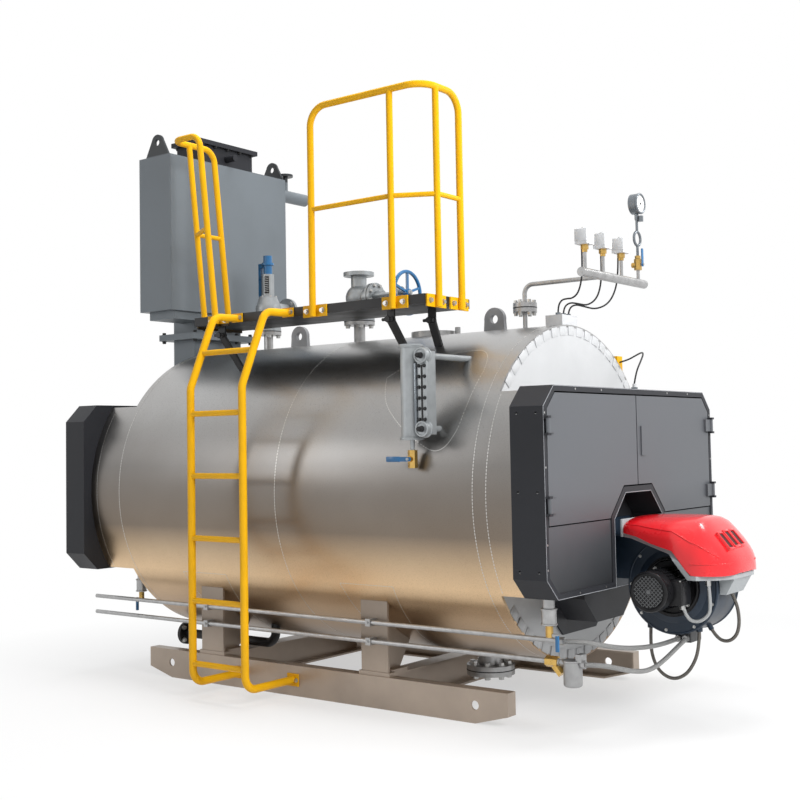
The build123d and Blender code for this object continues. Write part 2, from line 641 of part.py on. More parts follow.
with BuildPart() as fuel_pump:
    bar(PUMP_X, PUMP_Y, (PUMP_LOW, FAN_Z))
    rod((FAN_X, PUMP_Y[0], FAN_Z), (FAN_X, PUMP_Y[1], FAN_Z), 2 * (FAN_R + SEAT), Mode.SUBTRACT)
finish(fuel_pump, "fuel_pump")

# Burner hood: its side outline within its plan outline, over a trim that follows the lower edge
HOOD_LOWER = [
    (HOOD_REAR, HOOD_REAR_LOW), (HOOD_REAR + 35, HOOD_REAR_LOW - 4), (FAN_X + 50, HOOD_TOP - 136),
    (FAN_X + 135, HOOD_NOSE_LOW), (HOOD_TIP - 14, HOOD_NOSE_LOW),
]
HOOD_UPPER = [
    (HOOD_TIP, HOOD_NOSE_LOW + 25), (HOOD_TIP - 24, HOOD_NOSE_LOW + 105), (HOOD_TIP - 60, HOOD_TOP - 85),
    (HOOD_TIP - 105, HOOD_TOP - 42), (HOOD_TIP - 165, HOOD_TOP - 12), (HOOD_TIP - 230, HOOD_TOP),
    (HOOD_REAR + 60, HOOD_TOP - 3),
    (HOOD_REAR, HOOD_TOP - 8),
]
TRIM_LOWER = [
    (HOOD_TIP - 14, HOOD_NOSE_LOW - TRIM_DEPTH), (FAN_X + 124, HOOD_NOSE_LOW - TRIM_DEPTH),
    (FAN_X + 40, HOOD_TOP - 136 - TRIM_DEPTH), (HOOD_REAR + 32, HOOD_REAR_LOW - 4 - TRIM_DEPTH),
    (HOOD_REAR, HOOD_REAR_LOW - TRIM_DEPTH),
]
BUMPER_SIDE = [
    (HOOD_TIP - 20, HOOD_NOSE_LOW - TRIM_DEPTH), (HOOD_TIP - 60, BUMPER_LOW), (HOOD_TIP - 132, BUMPER_LOW),
    (HOOD_TIP - 150, HOOD_NOSE_LOW - TRIM_DEPTH),
]
HOOD_PLAN = [
    (HOOD_REAR, -HOOD_REAR_HALF), (FAN_X + 20, -HOOD_HALF), (HOOD_TIP - 130, -HOOD_HALF),
    (HOOD_TIP - 60, -190), (HOOD_TIP - 14, -105), (HOOD_TIP, 0), (HOOD_TIP - 14, 105), (HOOD_TIP - 60, 190),
    (HOOD_TIP - 130, HOOD_HALF), (FAN_X + 20, HOOD_HALF), (HOOD_REAR, HOOD_REAR_HALF),
]
HOOD_SECTION = [
    (-HOOD_HALF, BUMPER_LOW), (HOOD_HALF, BUMPER_LOW), (HOOD_HALF, HOOD_TOP - HOOD_SHOULDER),
    (HOOD_TOP_HALF, HOOD_TOP), (-HOOD_TOP_HALF, HOOD_TOP), (-HOOD_HALF, HOOD_TOP - HOOD_SHOULDER),
]


def clear_casing():
    """Cuts away what the fan casing, its damper and the air duct take up."""
    rod((FAN_X, FAN_Y[0] - MOTOR_FLANGE - HOOD_GAP, FAN_Z), (FAN_X, FAN_Y[1] + HOOD_GAP, FAN_Z),
        2 * (FAN_R + HOOD_GAP), Mode.SUBTRACT)
    rod((FAN_X, FAN_Y[1], FAN_Z), (FAN_X, FAN_Y[1] + DAMPER_DEPTH + HOOD_GAP, FAN_Z),
        2 * (DAMPER_R + HOOD_GAP), Mode.SUBTRACT)
    bar((FRONT_BOX_BACK, BODY_END + HOOD_GAP), (FAN_Y[0] - HOOD_GAP, FAN_Y[1] + HOOD_GAP), BODY_Z,
        Mode.SUBTRACT)


def hood_shape(side_points):
    """Adds the part of the hood's plan that lies within a side outline and its cross-section."""
    plate(Plane.XY.offset(BUMPER_LOW), HOOD_TOP - BUMPER_LOW, HOOD_PLAN)
    side_plate((-HOOD_HALF, HOOD_HALF), side_points, Mode.INTERSECT)
    plate(Plane.YZ.offset(HOOD_REAR), HOOD_TIP - HOOD_REAR, HOOD_SECTION, mode=Mode.INTERSECT)


with BuildPart() as burner_hood:
    hood_shape(HOOD_LOWER + HOOD_UPPER)
    clear_casing()
finish(burner_hood, "burner_hood")

with BuildPart() as hood_trim:
    hood_shape(HOOD_LOWER + TRIM_LOWER)
    side_plate((-BUMPER_HALF, BUMPER_HALF), BUMPER_SIDE)
    clear_casing()
finish(hood_trim, "hood_trim")

# Flue duct from the rear neck up to the economizer
DUCT_TOP = ECON_Z[0] - ECON_BASE
with BuildPart() as flue_duct:
    bar(DUCT_X, (-DUCT_HALF, DUCT_HALF), (REAR_NECK_Z[1], DUCT_TOP))
    bar((DUCT_X[0] - DUCT_FLANGE_OUT, DUCT_X[1] + DUCT_FLANGE_OUT),
        (-DUCT_HALF - DUCT_FLANGE_OUT, DUCT_HALF + DUCT_FLANGE_OUT),
        (DUCT_JOINT_Z - DUCT_FLANGE, DUCT_JOINT_Z + DUCT_FLANGE))
    bar((DUCT_X[0] + DUCT_WALL, DUCT_X[1] - DUCT_WALL), (DUCT_WALL - DUCT_HALF, DUCT_HALF - DUCT_WALL),
        (REAR_NECK_Z[1], DUCT_TOP), Mode.SUBTRACT)
finish(flue_duct, "flue_duct")

# Economizer: a closed box on a base, with lifting eyes and the water pipe on its far side
ECON_MID = (ECON_X[0] + ECON_X[1]) / 2
with BuildPart() as economizer:
    bar(ECON_X, (-ECON_HALF, ECON_HALF), ECON_Z)
    fillet(economizer.edges().filter_by(Axis.Z), 8)
    bar((ECON_X[0] + ECON_BASE_IN, ECON_X[1] - ECON_BASE_IN / 2),
        (ECON_BASE_IN - ECON_HALF, ECON_HALF - ECON_BASE_IN), (DUCT_TOP, ECON_Z[0]))
    bar((DUCT_X[0], ECON_X[0] + ECON_BASE_IN), (-DUCT_HALF, DUCT_HALF), (DUCT_TOP, ECON_Z[0]))
    for lug_y in (ECON_LUG_SHEET / 2 - ECON_HALF, ECON_HALF - ECON_LUG_SHEET / 2):
        eye_plate(ECON_MID + 25, lug_y, ECON_Z[1], ECON_Z[1] + ECON_LUG_EYE_Z, ECON_LUG_HALF, ECON_LUG_R,
                  ECON_LUG_EYE_D, ECON_LUG_SHEET)
    pipe_x, pipe_z = ECON_PIPE_AT
    rod((pipe_x, ECON_HALF, pipe_z), (pipe_x, ECON_PIPE_END, pipe_z), ECON_PIPE_D)
    rod((pipe_x, ECON_BRANCH_Y, pipe_z), (pipe_x, ECON_BRANCH_Y, ECON_BRANCH_TOP), ECON_BRANCH_D)
    flange((pipe_x, ECON_BRANCH_Y, ECON_BRANCH_TOP), (0, 0, 1), ECON_BRANCH_FLANGE_D, 14)
finish(economizer, "economizer")

with BuildPart() as flue_outlet:
    flue_x = (ECON_MID - FLUE_HALF[0], ECON_MID + FLUE_HALF[0])
    flue_y = (-FLUE_HALF[1], FLUE_HALF[1])
    flue_z = (ECON_Z[1], ECON_Z[1] + FLUE_RISE)
    lip_z = (flue_z[1], flue_z[1] + FLUE_LIP)
    bar(flue_x, flue_y, flue_z)
    bar((flue_x[0] - FLUE_LIP_OUT, flue_x[1] + FLUE_LIP_OUT),
        (flue_y[0] - FLUE_LIP_OUT, flue_y[1] + FLUE_LIP_OUT), lip_z)
    rod((flue_x[1] - DUCT_WALL, 0, POCKET_Z), (flue_x[1] + POCKET_LENGTH, 0, POCKET_Z), POCKET_D)
    bar((flue_x[0] + DUCT_WALL, flue_x[1] - DUCT_WALL), (flue_y[0] + DUCT_WALL, flue_y[1] - DUCT_WALL),
        (flue_z[0], lip_z[1]), Mode.SUBTRACT)
finish(flue_outlet, "flue_outlet")

# Platform: a deck plate with an edge band, on bent stays from the shell
DECK_PLAN = [(DECK_REAR, DECK_NEAR), (DECK_FRONT, DECK_NEAR), (DECK_FRONT, DECK_FAR), (DECK_REAR, DECK_FAR)]
with BuildPart() as platform:
    plate(Plane.XY.offset(DECK_LOW), DECK_TOP - DECK_LOW, DECK_PLAN)
    bar((DECK_REAR + DECK_BAND, DECK_FRONT - DECK_BAND), (DECK_NEAR + DECK_BAND, DECK_FAR - DECK_BAND),
        (DECK_LOW + DECK_SHEET, DECK_TOP), Mode.SUBTRACT)
    bend_z = DECK_LOW - STAY_DROP
    half = STAY_SHEET / 2
    for stay_x, (deck_y, foot_y) in zip(STAY_X, STAY_Y):
        foot_z = AXIS_Z + sqrt(JACKET_R ** 2 - foot_y ** 2) - 20
        plate(Plane.YZ.offset(stay_x - STAY_WIDTH / 2), STAY_WIDTH, [
            (deck_y - half, DECK_LOW), (deck_y + half, DECK_LOW), (deck_y + half, bend_z + half),
            (foot_y + 1.4 * half, foot_z), (foot_y - 1.4 * half, foot_z), (deck_y - half, bend_z - half),
        ])
    clear_shell()
finish(platform, "platform")

# Front guard rail: one bent top rail with end posts, two more posts, mid rails, and plates on the deck's edge
PLATE_LONG, PLATE_TALL, PLATE_THICK = GUARD_PLATE
POST_OUT = PLATE_THICK + GUARD_D / 2 - GUARD_BITE
GUARD_FOOT = DECK_TOP - PLATE_TALL
GUARD_NEAR = DECK_NEAR - POST_OUT


def near_plate(x):
    """Adds a post's plate on the deck's near edge."""
    bar((x - PLATE_LONG / 2, x + PLATE_LONG / 2), (DECK_NEAR - PLATE_THICK, DECK_NEAR),
        (GUARD_FOOT, DECK_TOP))


def end_plate(face, way, y):
    """Adds a post's plate on one end of the deck."""
    bar(sorted((face, face + way * PLATE_THICK)), (y - PLATE_LONG / 2, y + PLATE_LONG / 2),
        (GUARD_FOOT, DECK_TOP))


def join_posts(posts, diameter):
    """Adds straight rails between neighbouring points."""
    for start, end in zip(posts, posts[1:]):
        rod(start, end, diameter)


with BuildPart() as front_guard:
    end_x = DECK_FRONT + POST_OUT
    bent_tube([
        (POST_X[0], GUARD_NEAR, GUARD_FOOT), (POST_X[0], GUARD_NEAR, GUARD_TOP),
        (end_x, GUARD_NEAR, GUARD_TOP), (end_x, END_POST_Y[1], GUARD_TOP),
        (end_x, END_POST_Y[1], GUARD_FOOT),
    ], GUARD_BEND, GUARD_D)
    rod((POST_X[1], GUARD_NEAR, GUARD_FOOT), (POST_X[1], GUARD_NEAR, GUARD_TOP), GUARD_POST_D)
    rod((end_x, END_POST_Y[0], GUARD_FOOT), (end_x, END_POST_Y[0], GUARD_TOP), GUARD_POST_D)
    join_posts([
        (POST_X[0], GUARD_NEAR, GUARD_MID), (POST_X[1], GUARD_NEAR, GUARD_MID),
        (end_x, END_POST_Y[0], GUARD_MID), (end_x, END_POST_Y[1], GUARD_MID),
    ], GUARD_MID_D)
    for post_x in POST_X:
        near_plate(post_x)
    for post_y in END_POST_Y:
        end_plate(DECK_FRONT, 1, post_y)
finish(front_guard, "front_guard")


def leaned(x, y, z):
    """Gives a point of the rear guard, which leans backwards."""
    return (x - REAR_GUARD_LEAN * (z - GUARD_FOOT) / (GUARD_TOP - GUARD_FOOT), y, z)


with BuildPart() as rear_guard:
    end_x = DECK_REAR - POST_OUT
    corner_y, far_y = REAR_POST_Y
    bent_tube([
        leaned(REAR_POST_X, GUARD_NEAR, GUARD_FOOT), leaned(REAR_POST_X, GUARD_NEAR, GUARD_TOP),
        leaned(end_x, GUARD_NEAR, GUARD_TOP), leaned(end_x, far_y, GUARD_TOP),
        leaned(end_x, far_y, GUARD_FOOT),
    ], REAR_GUARD_BEND, GUARD_D)
    rod(leaned(end_x, corner_y, GUARD_FOOT), leaned(end_x, corner_y, GUARD_TOP), GUARD_POST_D)
    join_posts([
        leaned(REAR_POST_X, GUARD_NEAR, GUARD_MID), leaned(end_x, corner_y, GUARD_MID),
        leaned(end_x, far_y, GUARD_MID),
    ], GUARD_MID_D)
    near_plate(REAR_POST_X)
    for post_y in REAR_POST_Y:
        end_plate(DECK_REAR, -1, post_y)
finish(rear_guard, "rear_guard")

# Ladder: two bent rails, rungs, and ears that bolt to the skid and to the platform
with BuildPart() as ladder:
    ear_long, ear_tall, ear_thick = LADDER_EAR
    rail_end = DECK_NEAR - ear_thick
    for rail_x in LADDER_X:
        bent_tube([
            (rail_x, -RAIL_OUTER - ear_thick, LADDER_FOOT_Z), (rail_x, LADDER_Y, LADDER_FOOT_Z),
            (rail_x, LADDER_Y, LADDER_KNEE_Z), (rail_x, LADDER_HEAD[0], LADDER_HEAD[1]),
            (rail_x, rail_end, LADDER_HEAD[1] + 4),
        ], LADDER_BEND, LADDER_D)
        ear_x = (rail_x - ear_long / 2, rail_x + ear_long / 2)
        bar(ear_x, (-RAIL_OUTER - ear_thick, -RAIL_OUTER),
            (LADDER_FOOT_Z - ear_tall / 2, LADDER_FOOT_Z + ear_tall / 2))
        bar(ear_x, (rail_end, DECK_NEAR), (DECK_LOW, DECK_TOP))
    slope = (LADDER_HEAD[0] - LADDER_Y) / (LADDER_HEAD[1] - LADDER_KNEE_Z)
    for step in range(RUNG_COUNT):
        rung_z = RUNG_FIRST + RUNG_PITCH * step
        rung_y = LADDER_Y + slope * max(0, rung_z - LADDER_KNEE_Z)
        rod((LADDER_X[0], rung_y, rung_z), (LADDER_X[1], rung_y, rung_z), RUNG_D)
finish(ladder, "ladder")

# Fittings on the shell: lifting eyes, manhole cover, plug and flanged nozzles
with BuildPart() as shell_lugs:
    for lug_x in LUG_X:
        eye_plate(lug_x, 0, AXIS_Z + JACKET_R - 20, LUG_EYE_Z, LUG_HALF + 5, LUG_HALF, LUG_EYE_D, LUG_SHEET)
    clear_shell()
finish(shell_lugs, "shell_lugs")

with BuildPart() as shell_nozzles:
    rod((MANHOLE_X, 0, AXIS_Z), (MANHOLE_X, 0, MANHOLE_TOP), MANHOLE_D)
    rod((PLUG_X, 0, AXIS_Z), (PLUG_X, 0, MANHOLE_TOP + 16), 28)
    rod((STEAM_X, 0, AXIS_Z), (STEAM_X, 0, STEAM_JOINT_Z), STEAM_PIPE_D)
    flange((STEAM_X, 0, STEAM_JOINT_Z - STEAM_FLANGE), (0, 0, 1), STEAM_FLANGE_D, STEAM_FLANGE)
    rod((SAFETY_X, 0, AXIS_Z), (SAFETY_X, 0, SAFETY_JOINT_Z), SAFETY_PIPE_D)
    flange((SAFETY_X, 0, SAFETY_JOINT_Z - SAFETY_FLANGE), (0, 0, 1), SAFETY_FLANGE_D, SAFETY_FLANGE)
    rod((TAP_X, 0, AXIS_Z), (TAP_X, 0, TAP_JOINT_Z), TAP_PIPE_D)
    flange((TAP_X, 0, TAP_JOINT_Z - TAP_FLANGE), (0, 0, 1), TAP_FLANGE_D, TAP_FLANGE)
    rod((NOZZLE_X, 0, NOZZLE_JOINT_Z), (NOZZLE_X, 0, AXIS_Z), NOZZLE_D)
    flange((NOZZLE_X, 0, NOZZLE_JOINT_Z - NOZZLE_FLANGE), (0, 0, 1), NOZZLE_FLANGE_D, 2 * NOZZLE_FLANGE)
    clear_shell()
finish(shell_nozzles, "shell_nozzles")

BONNET_X = STEAM_X + 122
with BuildPart() as steam_valve:
    flange((STEAM_X, 0, STEAM_JOINT_Z), (0, 0, 1), STEAM_FLANGE_D, STEAM_FLANGE)
    rod((STEAM_X, 0, STEAM_JOINT_Z), (STEAM_X, 0, STEAM_TOP), STEAM_BODY_D)
    with Locations((STEAM_X, 0, STEM_Z)):
        Sphere(STEAM_BALL_R)
    rod((STEAM_X, 0, STEM_Z), (BONNET_X - 17, 0, STEM_Z), BONNET_D)
    rod((BONNET_X - STEAM_FLANGE * 1.7, 0, STEM_Z), (BONNET_X, 0, STEM_Z), BONNET_FLANGE_D)
    rod((BONNET_X, 0, STEM_Z), (BONNET_X + 43, 0, STEM_Z), 0.6 * BONNET_D)
    for yoke_y in (-YOKE_HALF, YOKE_HALF):
        rod((BONNET_X, yoke_y, STEM_Z), (WHEEL_X - 55, yoke_y * 0.7, STEM_Z), YOKE_D)
    rod((WHEEL_X - 62, 0, STEM_Z), (WHEEL_X - 36, 0, STEM_Z), 2.2 * YOKE_HALF)
    rod((BONNET_X, 0, STEM_Z), (WHEEL_X + WHEEL_HUB / 2 + 14, 0, STEM_Z), STEM_D)
    bolts = (4, STEAM_BOLT_PCD, STEAM_BOLT_D)
    flange((STEAM_X, 0, STEAM_TOP - STEAM_FLANGE), (0, 0, 1), STEAM_FLANGE_D, STEAM_FLANGE, bolts=bolts)
    rod((STEAM_X, 0, STEM_Z + 60), (STEAM_X, 0, STEAM_TOP), STEAM_BORE_D, Mode.SUBTRACT)
finish(steam_valve, "steam_valve")

with BuildPart() as steam_handwheel:
    with BuildSketch(Plane.YZ.offset(WHEEL_X - WHEEL_RIM_D / 2)) as rim:
        with Locations((0, STEM_Z)):
            Circle(WHEEL_R)
            Circle(WHEEL_R - WHEEL_RIM_D, mode=Mode.SUBTRACT)
    extrude(amount=WHEEL_RIM_D)
    fillet(steam_handwheel.edges().filter_by(GeomType.CIRCLE), 0.4 * WHEEL_RIM_D)
    with BuildSketch(Plane.YZ.offset(WHEEL_X - WHEEL_SPOKE / 2)) as spokes:
        with Locations((0, STEM_Z)):
            Circle(WHEEL_HUB_D / 2)
            with PolarLocations(WHEEL_R / 2, 5, start_angle=90):
                Rectangle(WHEEL_R - WHEEL_SPOKE, WHEEL_SPOKE)
    extrude(amount=WHEEL_SPOKE)
    rod((WHEEL_X - WHEEL_HUB / 2, 0, STEM_Z), (WHEEL_X + WHEEL_HUB / 2, 0, STEM_Z), WHEEL_HUB_D)
    rod((WHEEL_X - WHEEL_HUB, 0, STEM_Z), (WHEEL_X + WHEEL_HUB, 0, STEM_Z), STEM_D + 2 * PIN_FIT,
        Mode.SUBTRACT)
finish(steam_handwheel, "steam_handwheel")

with BuildPart() as safety_valve:
    flange((SAFETY_X, 0, SAFETY_JOINT_Z), (0, 0, 1), SAFETY_FLANGE_D, SAFETY_FLANGE)
    rod((SAFETY_X, 0, SAFETY_JOINT_Z), (SAFETY_X, 0, SAFETY_CAP_Z), SAFETY_BODY_D)
    with Locations((SAFETY_X, 0, SAFETY_BALL_Z)):
        Sphere(SAFETY_BALL_R)
    rod((SAFETY_X, 0, SAFETY_BALL_Z), (SAFETY_X, SAFETY_SIDE, SAFETY_BALL_Z), SAFETY_SIDE_D)
    flange((SAFETY_X, SAFETY_SIDE, SAFETY_BALL_Z), (0, 1, 0), SAFETY_SIDE_FLANGE_D, 0.9 * SAFETY_FLANGE)
    collar_z = SAFETY_BALL_Z + 0.7 * SAFETY_BALL_R
    flange((SAFETY_X, 0, collar_z), (0, 0, 1), SAFETY_COLLAR_D, 0.8 * SAFETY_FLANGE)
finish(safety_valve, "safety_valve")

with BuildPart() as safety_cap:
    rod((SAFETY_X, 0, SAFETY_CAP_Z), (SAFETY_X, 0, SAFETY_TOP), 0.72 * SAFETY_BODY_D)
    lever_z = (SAFETY_CAP_Z + 40, SAFETY_CAP_Z + SAFETY_LEVER)
    rod((SAFETY_X, 0, lever_z[1] - 14), (SAFETY_X, 0, lever_z[1]), SAFETY_BODY_D)
    bar((SAFETY_X - SAFETY_LEVER, SAFETY_X), (-9, 9), lever_z)
    bar((SAFETY_X - SAFETY_LEVER, SAFETY_X - SAFETY_LEVER + 18), (-9, 9), (SAFETY_CAP_Z - 126, lever_z[1]))
finish(safety_cap, "safety_cap")

# Water level column with its drain cock, and its gauge with two pipes to the shell
COLUMN_X, COLUMN_Y = COLUMN_AT
with BuildPart() as level_column:
    rod((COLUMN_X, COLUMN_Y, COLUMN_Z[0]), (COLUMN_X, COLUMN_Y, COLUMN_Z[1]), COLUMN_D)
    rod((COLUMN_X, COLUMN_Y, COLUMN_Z[0]), (COLUMN_X, COLUMN_Y, COLUMN_Z[0] + COLUMN_CAP), COLUMN_CAP_D)
    rod((COLUMN_X, COLUMN_Y, COLUMN_Z[1] - COLUMN_CAP), (COLUMN_X, COLUMN_Y, COLUMN_Z[1]), COLUMN_CAP_D)
    rod((COLUMN_X, COLUMN_Y, DRAIN_COCK_Z), (COLUMN_X, COLUMN_Y, COLUMN_Z[0]), 21)
    rod((COLUMN_X, COLUMN_Y, DRAIN_COCK_Z - 34), (COLUMN_X, COLUMN_Y, DRAIN_COCK_Z + 34), DRAIN_COCK_D)
    rod((COLUMN_X, COLUMN_Y, DRAIN_COCK_Z), (COLUMN_X, COLUMN_Y - LEVER_OUT - 10, DRAIN_COCK_Z), LEVER_PIN_D)
finish(level_column, "level_column")

with BuildPart() as level_gauge:
    bar((GLASS_X - GLASS_SIZE[0] / 2, GLASS_X + GLASS_SIZE[0] / 2),
        (COLUMN_Y - GLASS_SIZE[1] / 2, COLUMN_Y + GLASS_SIZE[1] / 2), GLASS_Z)
    for stub_z in GAUGE_PIPE_Z:
        rod((COLUMN_X + COLUMN_D / 2 - 8, COLUMN_Y, stub_z), (GLASS_X, COLUMN_Y, stub_z), GAUGE_PIPE_D)
        rod((GLASS_X, COLUMN_Y, stub_z), (GLASS_X, 0, stub_z), GAUGE_PIPE_D)
    rod((COLUMN_X, COLUMN_Y, COLUMN_Z[0]), (COLUMN_X, COLUMN_Y, COLUMN_Z[1]), COLUMN_D + 2 * SEAT,
        Mode.SUBTRACT)
    clear_shell()
finish(level_gauge, "level_gauge")

with BuildPart() as drain_lever:
    lever_y = (COLUMN_Y - LEVER_OUT - 3, COLUMN_Y - LEVER_OUT + 3)
    bar((COLUMN_X - LEVER_LENGTH, COLUMN_X + 12), lever_y, (DRAIN_COCK_Z - 10, DRAIN_COCK_Z + 10))
    fillet(drain_lever.edges().filter_by(Axis.Y), 6)
    rod((COLUMN_X, lever_y[0] - 1, DRAIN_COCK_Z), (COLUMN_X, lever_y[1] + 1, DRAIN_COCK_Z),
        LEVER_PIN_D + 2 * PIN_FIT, Mode.SUBTRACT)
finish(drain_lever, "drain_lever")

# Pressure manifold with its cock, switches and gauge
with BuildPart() as manifold:
    flange((TAP_X, 0, TAP_JOINT_Z), (0, 0, 1), TAP_FLANGE_D, TAP_FLANGE)
    bent_tube([(TAP_X, 0, TAP_JOINT_Z), (TAP_X, 0, MANIFOLD_Z), (MANIFOLD_X, 0, MANIFOLD_Z)], 45, TAP_PIPE_D)
    rod((MANIFOLD_X, MANIFOLD_Y[0], MANIFOLD_Z), (MANIFOLD_X, MANIFOLD_Y[1], MANIFOLD_Z), MANIFOLD_D)
    for stub_y in SWITCH_Y:
        rod((MANIFOLD_X, stub_y, MANIFOLD_Z), (MANIFOLD_X, stub_y, SWITCH_Z), STUB_D)
    rod((MANIFOLD_X, GAUGE_Y, MANIFOLD_Z), (MANIFOLD_X, GAUGE_Y, COCK_Z), STUB_D)
    rod((MANIFOLD_X, GAUGE_Y, COCK_Z - 24), (MANIFOLD_X, GAUGE_Y, COCK_Z + 24), 30)
    rod((MANIFOLD_X, GAUGE_Y, COCK_Z), (MANIFOLD_X + 32, GAUGE_Y, COCK_Z), 10)
finish(manifold, "manifold")

with BuildPart() as pressure_switches:
    for switch_y in SWITCH_Y:
        deep, wide, tall = SWITCH_SIZE
        bar((MANIFOLD_X - deep / 2, MANIFOLD_X + deep / 2), (switch_y - wide / 2, switch_y + wide / 2),
            (SWITCH_Z, SWITCH_Z + tall))
finish(pressure_switches, "pressure_switches")

with BuildPart() as gauge_cock_lever:
    lever_x = (MANIFOLD_X + 22, MANIFOLD_X + 27)
    bar(lever_x, (GAUGE_Y - 8, GAUGE_Y + 8), (COCK_Z - 10, COCK_Z + 78))
    fillet(gauge_cock_lever.edges().filter_by(Axis.X), 5)
    rod((lever_x[0] - 1, GAUGE_Y, COCK_Z), (lever_x[1] + 1, GAUGE_Y, COCK_Z), 10 + 2 * PIN_FIT, Mode.SUBTRACT)
finish(gauge_cock_lever, "gauge_cock_lever")

with BuildPart() as pressure_gauge:
    gauge_x = (MANIFOLD_X - GAUGE_DEPTH / 2, MANIFOLD_X + GAUGE_DEPTH / 2)
    rod((gauge_x[0], GAUGE_Y, GAUGE_Z), (gauge_x[1], GAUGE_Y, GAUGE_Z), GAUGE_D)
    rod((MANIFOLD_X, GAUGE_Y, COCK_Z + 24), (MANIFOLD_X, GAUGE_Y, SIPHON_Z - SIPHON_R), SIPHON_D)
    with Locations(Plane(origin=(MANIFOLD_X, GAUGE_Y, SIPHON_Z), z_dir=(1, 0, 0))):
        Torus(SIPHON_R, SIPHON_D / 2)
    rod((MANIFOLD_X, GAUGE_Y, SIPHON_Z + SIPHON_R), (MANIFOLD_X, GAUGE_Y, GAUGE_Z), SIPHON_D)
    rod((MANIFOLD_X, GAUGE_Y, GAUGE_Z - GAUGE_D / 2 - 28), (MANIFOLD_X, GAUGE_Y, GAUGE_Z), 20)
finish(pressure_gauge, "pressure_gauge")

# Fuel lines along the near side, with a hose union, a strainer, clamps and a filter
STRAINER_X = (FUEL_FRONT[1], FUEL_FRONT[1] + STRAINER_LENGTH)
with BuildPart() as fuel_pipes:
    for pipe_z, pipe_end in zip(FUEL_Z, FUEL_FRONT):
        rod((FUEL_REAR, FUEL_Y, pipe_z), (pipe_end, FUEL_Y, pipe_z), FUEL_D)
    rod((FUEL_FRONT[0], FUEL_Y, FUEL_Z[0]), (FUEL_FRONT[0] + UNION_LENGTH, FUEL_Y, FUEL_Z[0]), 32)
    rod((STRAINER_X[0], FUEL_Y, FUEL_Z[1]), (STRAINER_X[1], FUEL_Y, FUEL_Z[1]), 34)
    rod((STRAINER_X[0] + 24, FUEL_Y, FUEL_Z[1]), (STRAINER_X[0] + 66, FUEL_Y, FUEL_Z[1] - 46), 28)
finish(fuel_pipes, "fuel_pipes")

with BuildPart() as pipe_clamps:
    for leg_x in LEG_X:
        for pipe_z in FUEL_Z:
            bar((leg_x - 14, leg_x + 14), (FUEL_Y - FUEL_D / 2 - 5, -LEG_OUTER),
                (pipe_z - FUEL_D / 2 - 6, pipe_z + FUEL_D / 2 + 6))
            rod((leg_x - 14, FUEL_Y, pipe_z), (leg_x + 14, FUEL_Y, pipe_z), FUEL_D + 2 * SEAT, Mode.SUBTRACT)
finish(pipe_clamps, "pipe_clamps")

with BuildPart() as fuel_filter:
    rod((STRAINER_X[1], FUEL_Y, FUEL_Z[1]), (FILTER_X + FILTER_D / 2 + 20, FUEL_Y, FUEL_Z[1]), 26)
    rod((FILTER_X, FUEL_Y, FILTER_LOW), (FILTER_X, FUEL_Y, FUEL_Z[1] + 14), FILTER_D)
    fillet(fuel_filter.edges().filter_by(GeomType.CIRCLE).sort_by(Axis.Z)[0], 12)
finish(fuel_filter, "fuel_filter")

# Drains under the smoke boxes
with BuildPart() as drains:
    for (drain_x, drain_y), top, low, wide, way in (
        (FRONT_DRAIN_AT, FRONT_BOX_Z[0], FRONT_DRAIN_LOW, FRONT_DRAIN_D, 1),
        (REAR_DRAIN_AT, REAR_NECK_Z[0], REAR_DRAIN_LOW, REAR_DRAIN_D, -1),
    ):
        rod((drain_x, drain_y, low), (drain_x, drain_y, top), wide * 0.8)
        rod((drain_x, drain_y, low), (drain_x, drain_y, low + 70), wide)
        rod((drain_x, drain_y, low - 50), (drain_x, drain_y, low), 26)
        bar(sorted((drain_x, drain_x + way * 42)), (drain_y - 5, drain_y + 5), (low - 46, low - 34))
        bar(sorted((drain_x + way * 30, drain_x + way * 42)), (drain_y - 5, drain_y + 5),
            (low - 105, low - 34))
finish(drains, "drains")

# Blowdown pipe under the shell
with BuildPart() as blowdown_pipe:
    bent_tube([
        (BLOWDOWN_X[0], BLOWDOWN_Y, AXIS_Z - JACKET_R / 2), (BLOWDOWN_X[0], BLOWDOWN_Y, BLOWDOWN_Z),
        (BLOWDOWN_X[1], BLOWDOWN_Y, BLOWDOWN_Z),
    ], 62, BLOWDOWN_D)
    flange((BLOWDOWN_X[1], BLOWDOWN_Y, BLOWDOWN_Z), (-1, 0, 0), BLOWDOWN_FLANGE_D, BLOWDOWN_FLANGE)
    clear_shell()
finish(blowdown_pipe, "blowdown_pipe")

# Junction box on the far shoulder, cable entry on top, and the gland on the front smoke box
with BuildPart() as junction_box:
    bar(JUNCTION_X, JUNCTION_Y, (AXIS_Z + JACKET_R / 2, JUNCTION_TOP))
    clear_shell()
finish(junction_box, "junction_box")

with BuildPart() as cable_entries:
    bar(ENTRY_X, (-ENTRY_HALF, ENTRY_HALF), (ENTRY_TOP - ENTRY_BASE, ENTRY_TOP))
    clear_shell()
    rod((*GLAND_AT, FRONT_BOX_Z[1]), (*GLAND_AT, GLAND_TOP), GLAND_D)
finish(cable_entries, "cable_entries")


def route_radii(points):
    """Gives each corner of a route the largest arc that its two runs leave room for."""
    radii = []
    for before, at, after in zip(points, points[1:], points[2:]):
        run_in = Vector(*at) - Vector(*before)
        run_out = Vector(*after) - Vector(*at)
        turn = radians(run_in.get_angle(run_out))
        radii.append(0.45 * min(run_in.length, run_out.length) / tan(turn / 2))
    return radii


def between(start, first, last, end):
    """Gives a route's points: the first ones set out from its start, the last ones from its end."""
    from_start = [tuple(Vector(*start) + Vector(*step)) for step in first]
    from_end = [tuple(Vector(*end) + Vector(*step)) for step in last]
    return [start, *from_start, *from_end, end]


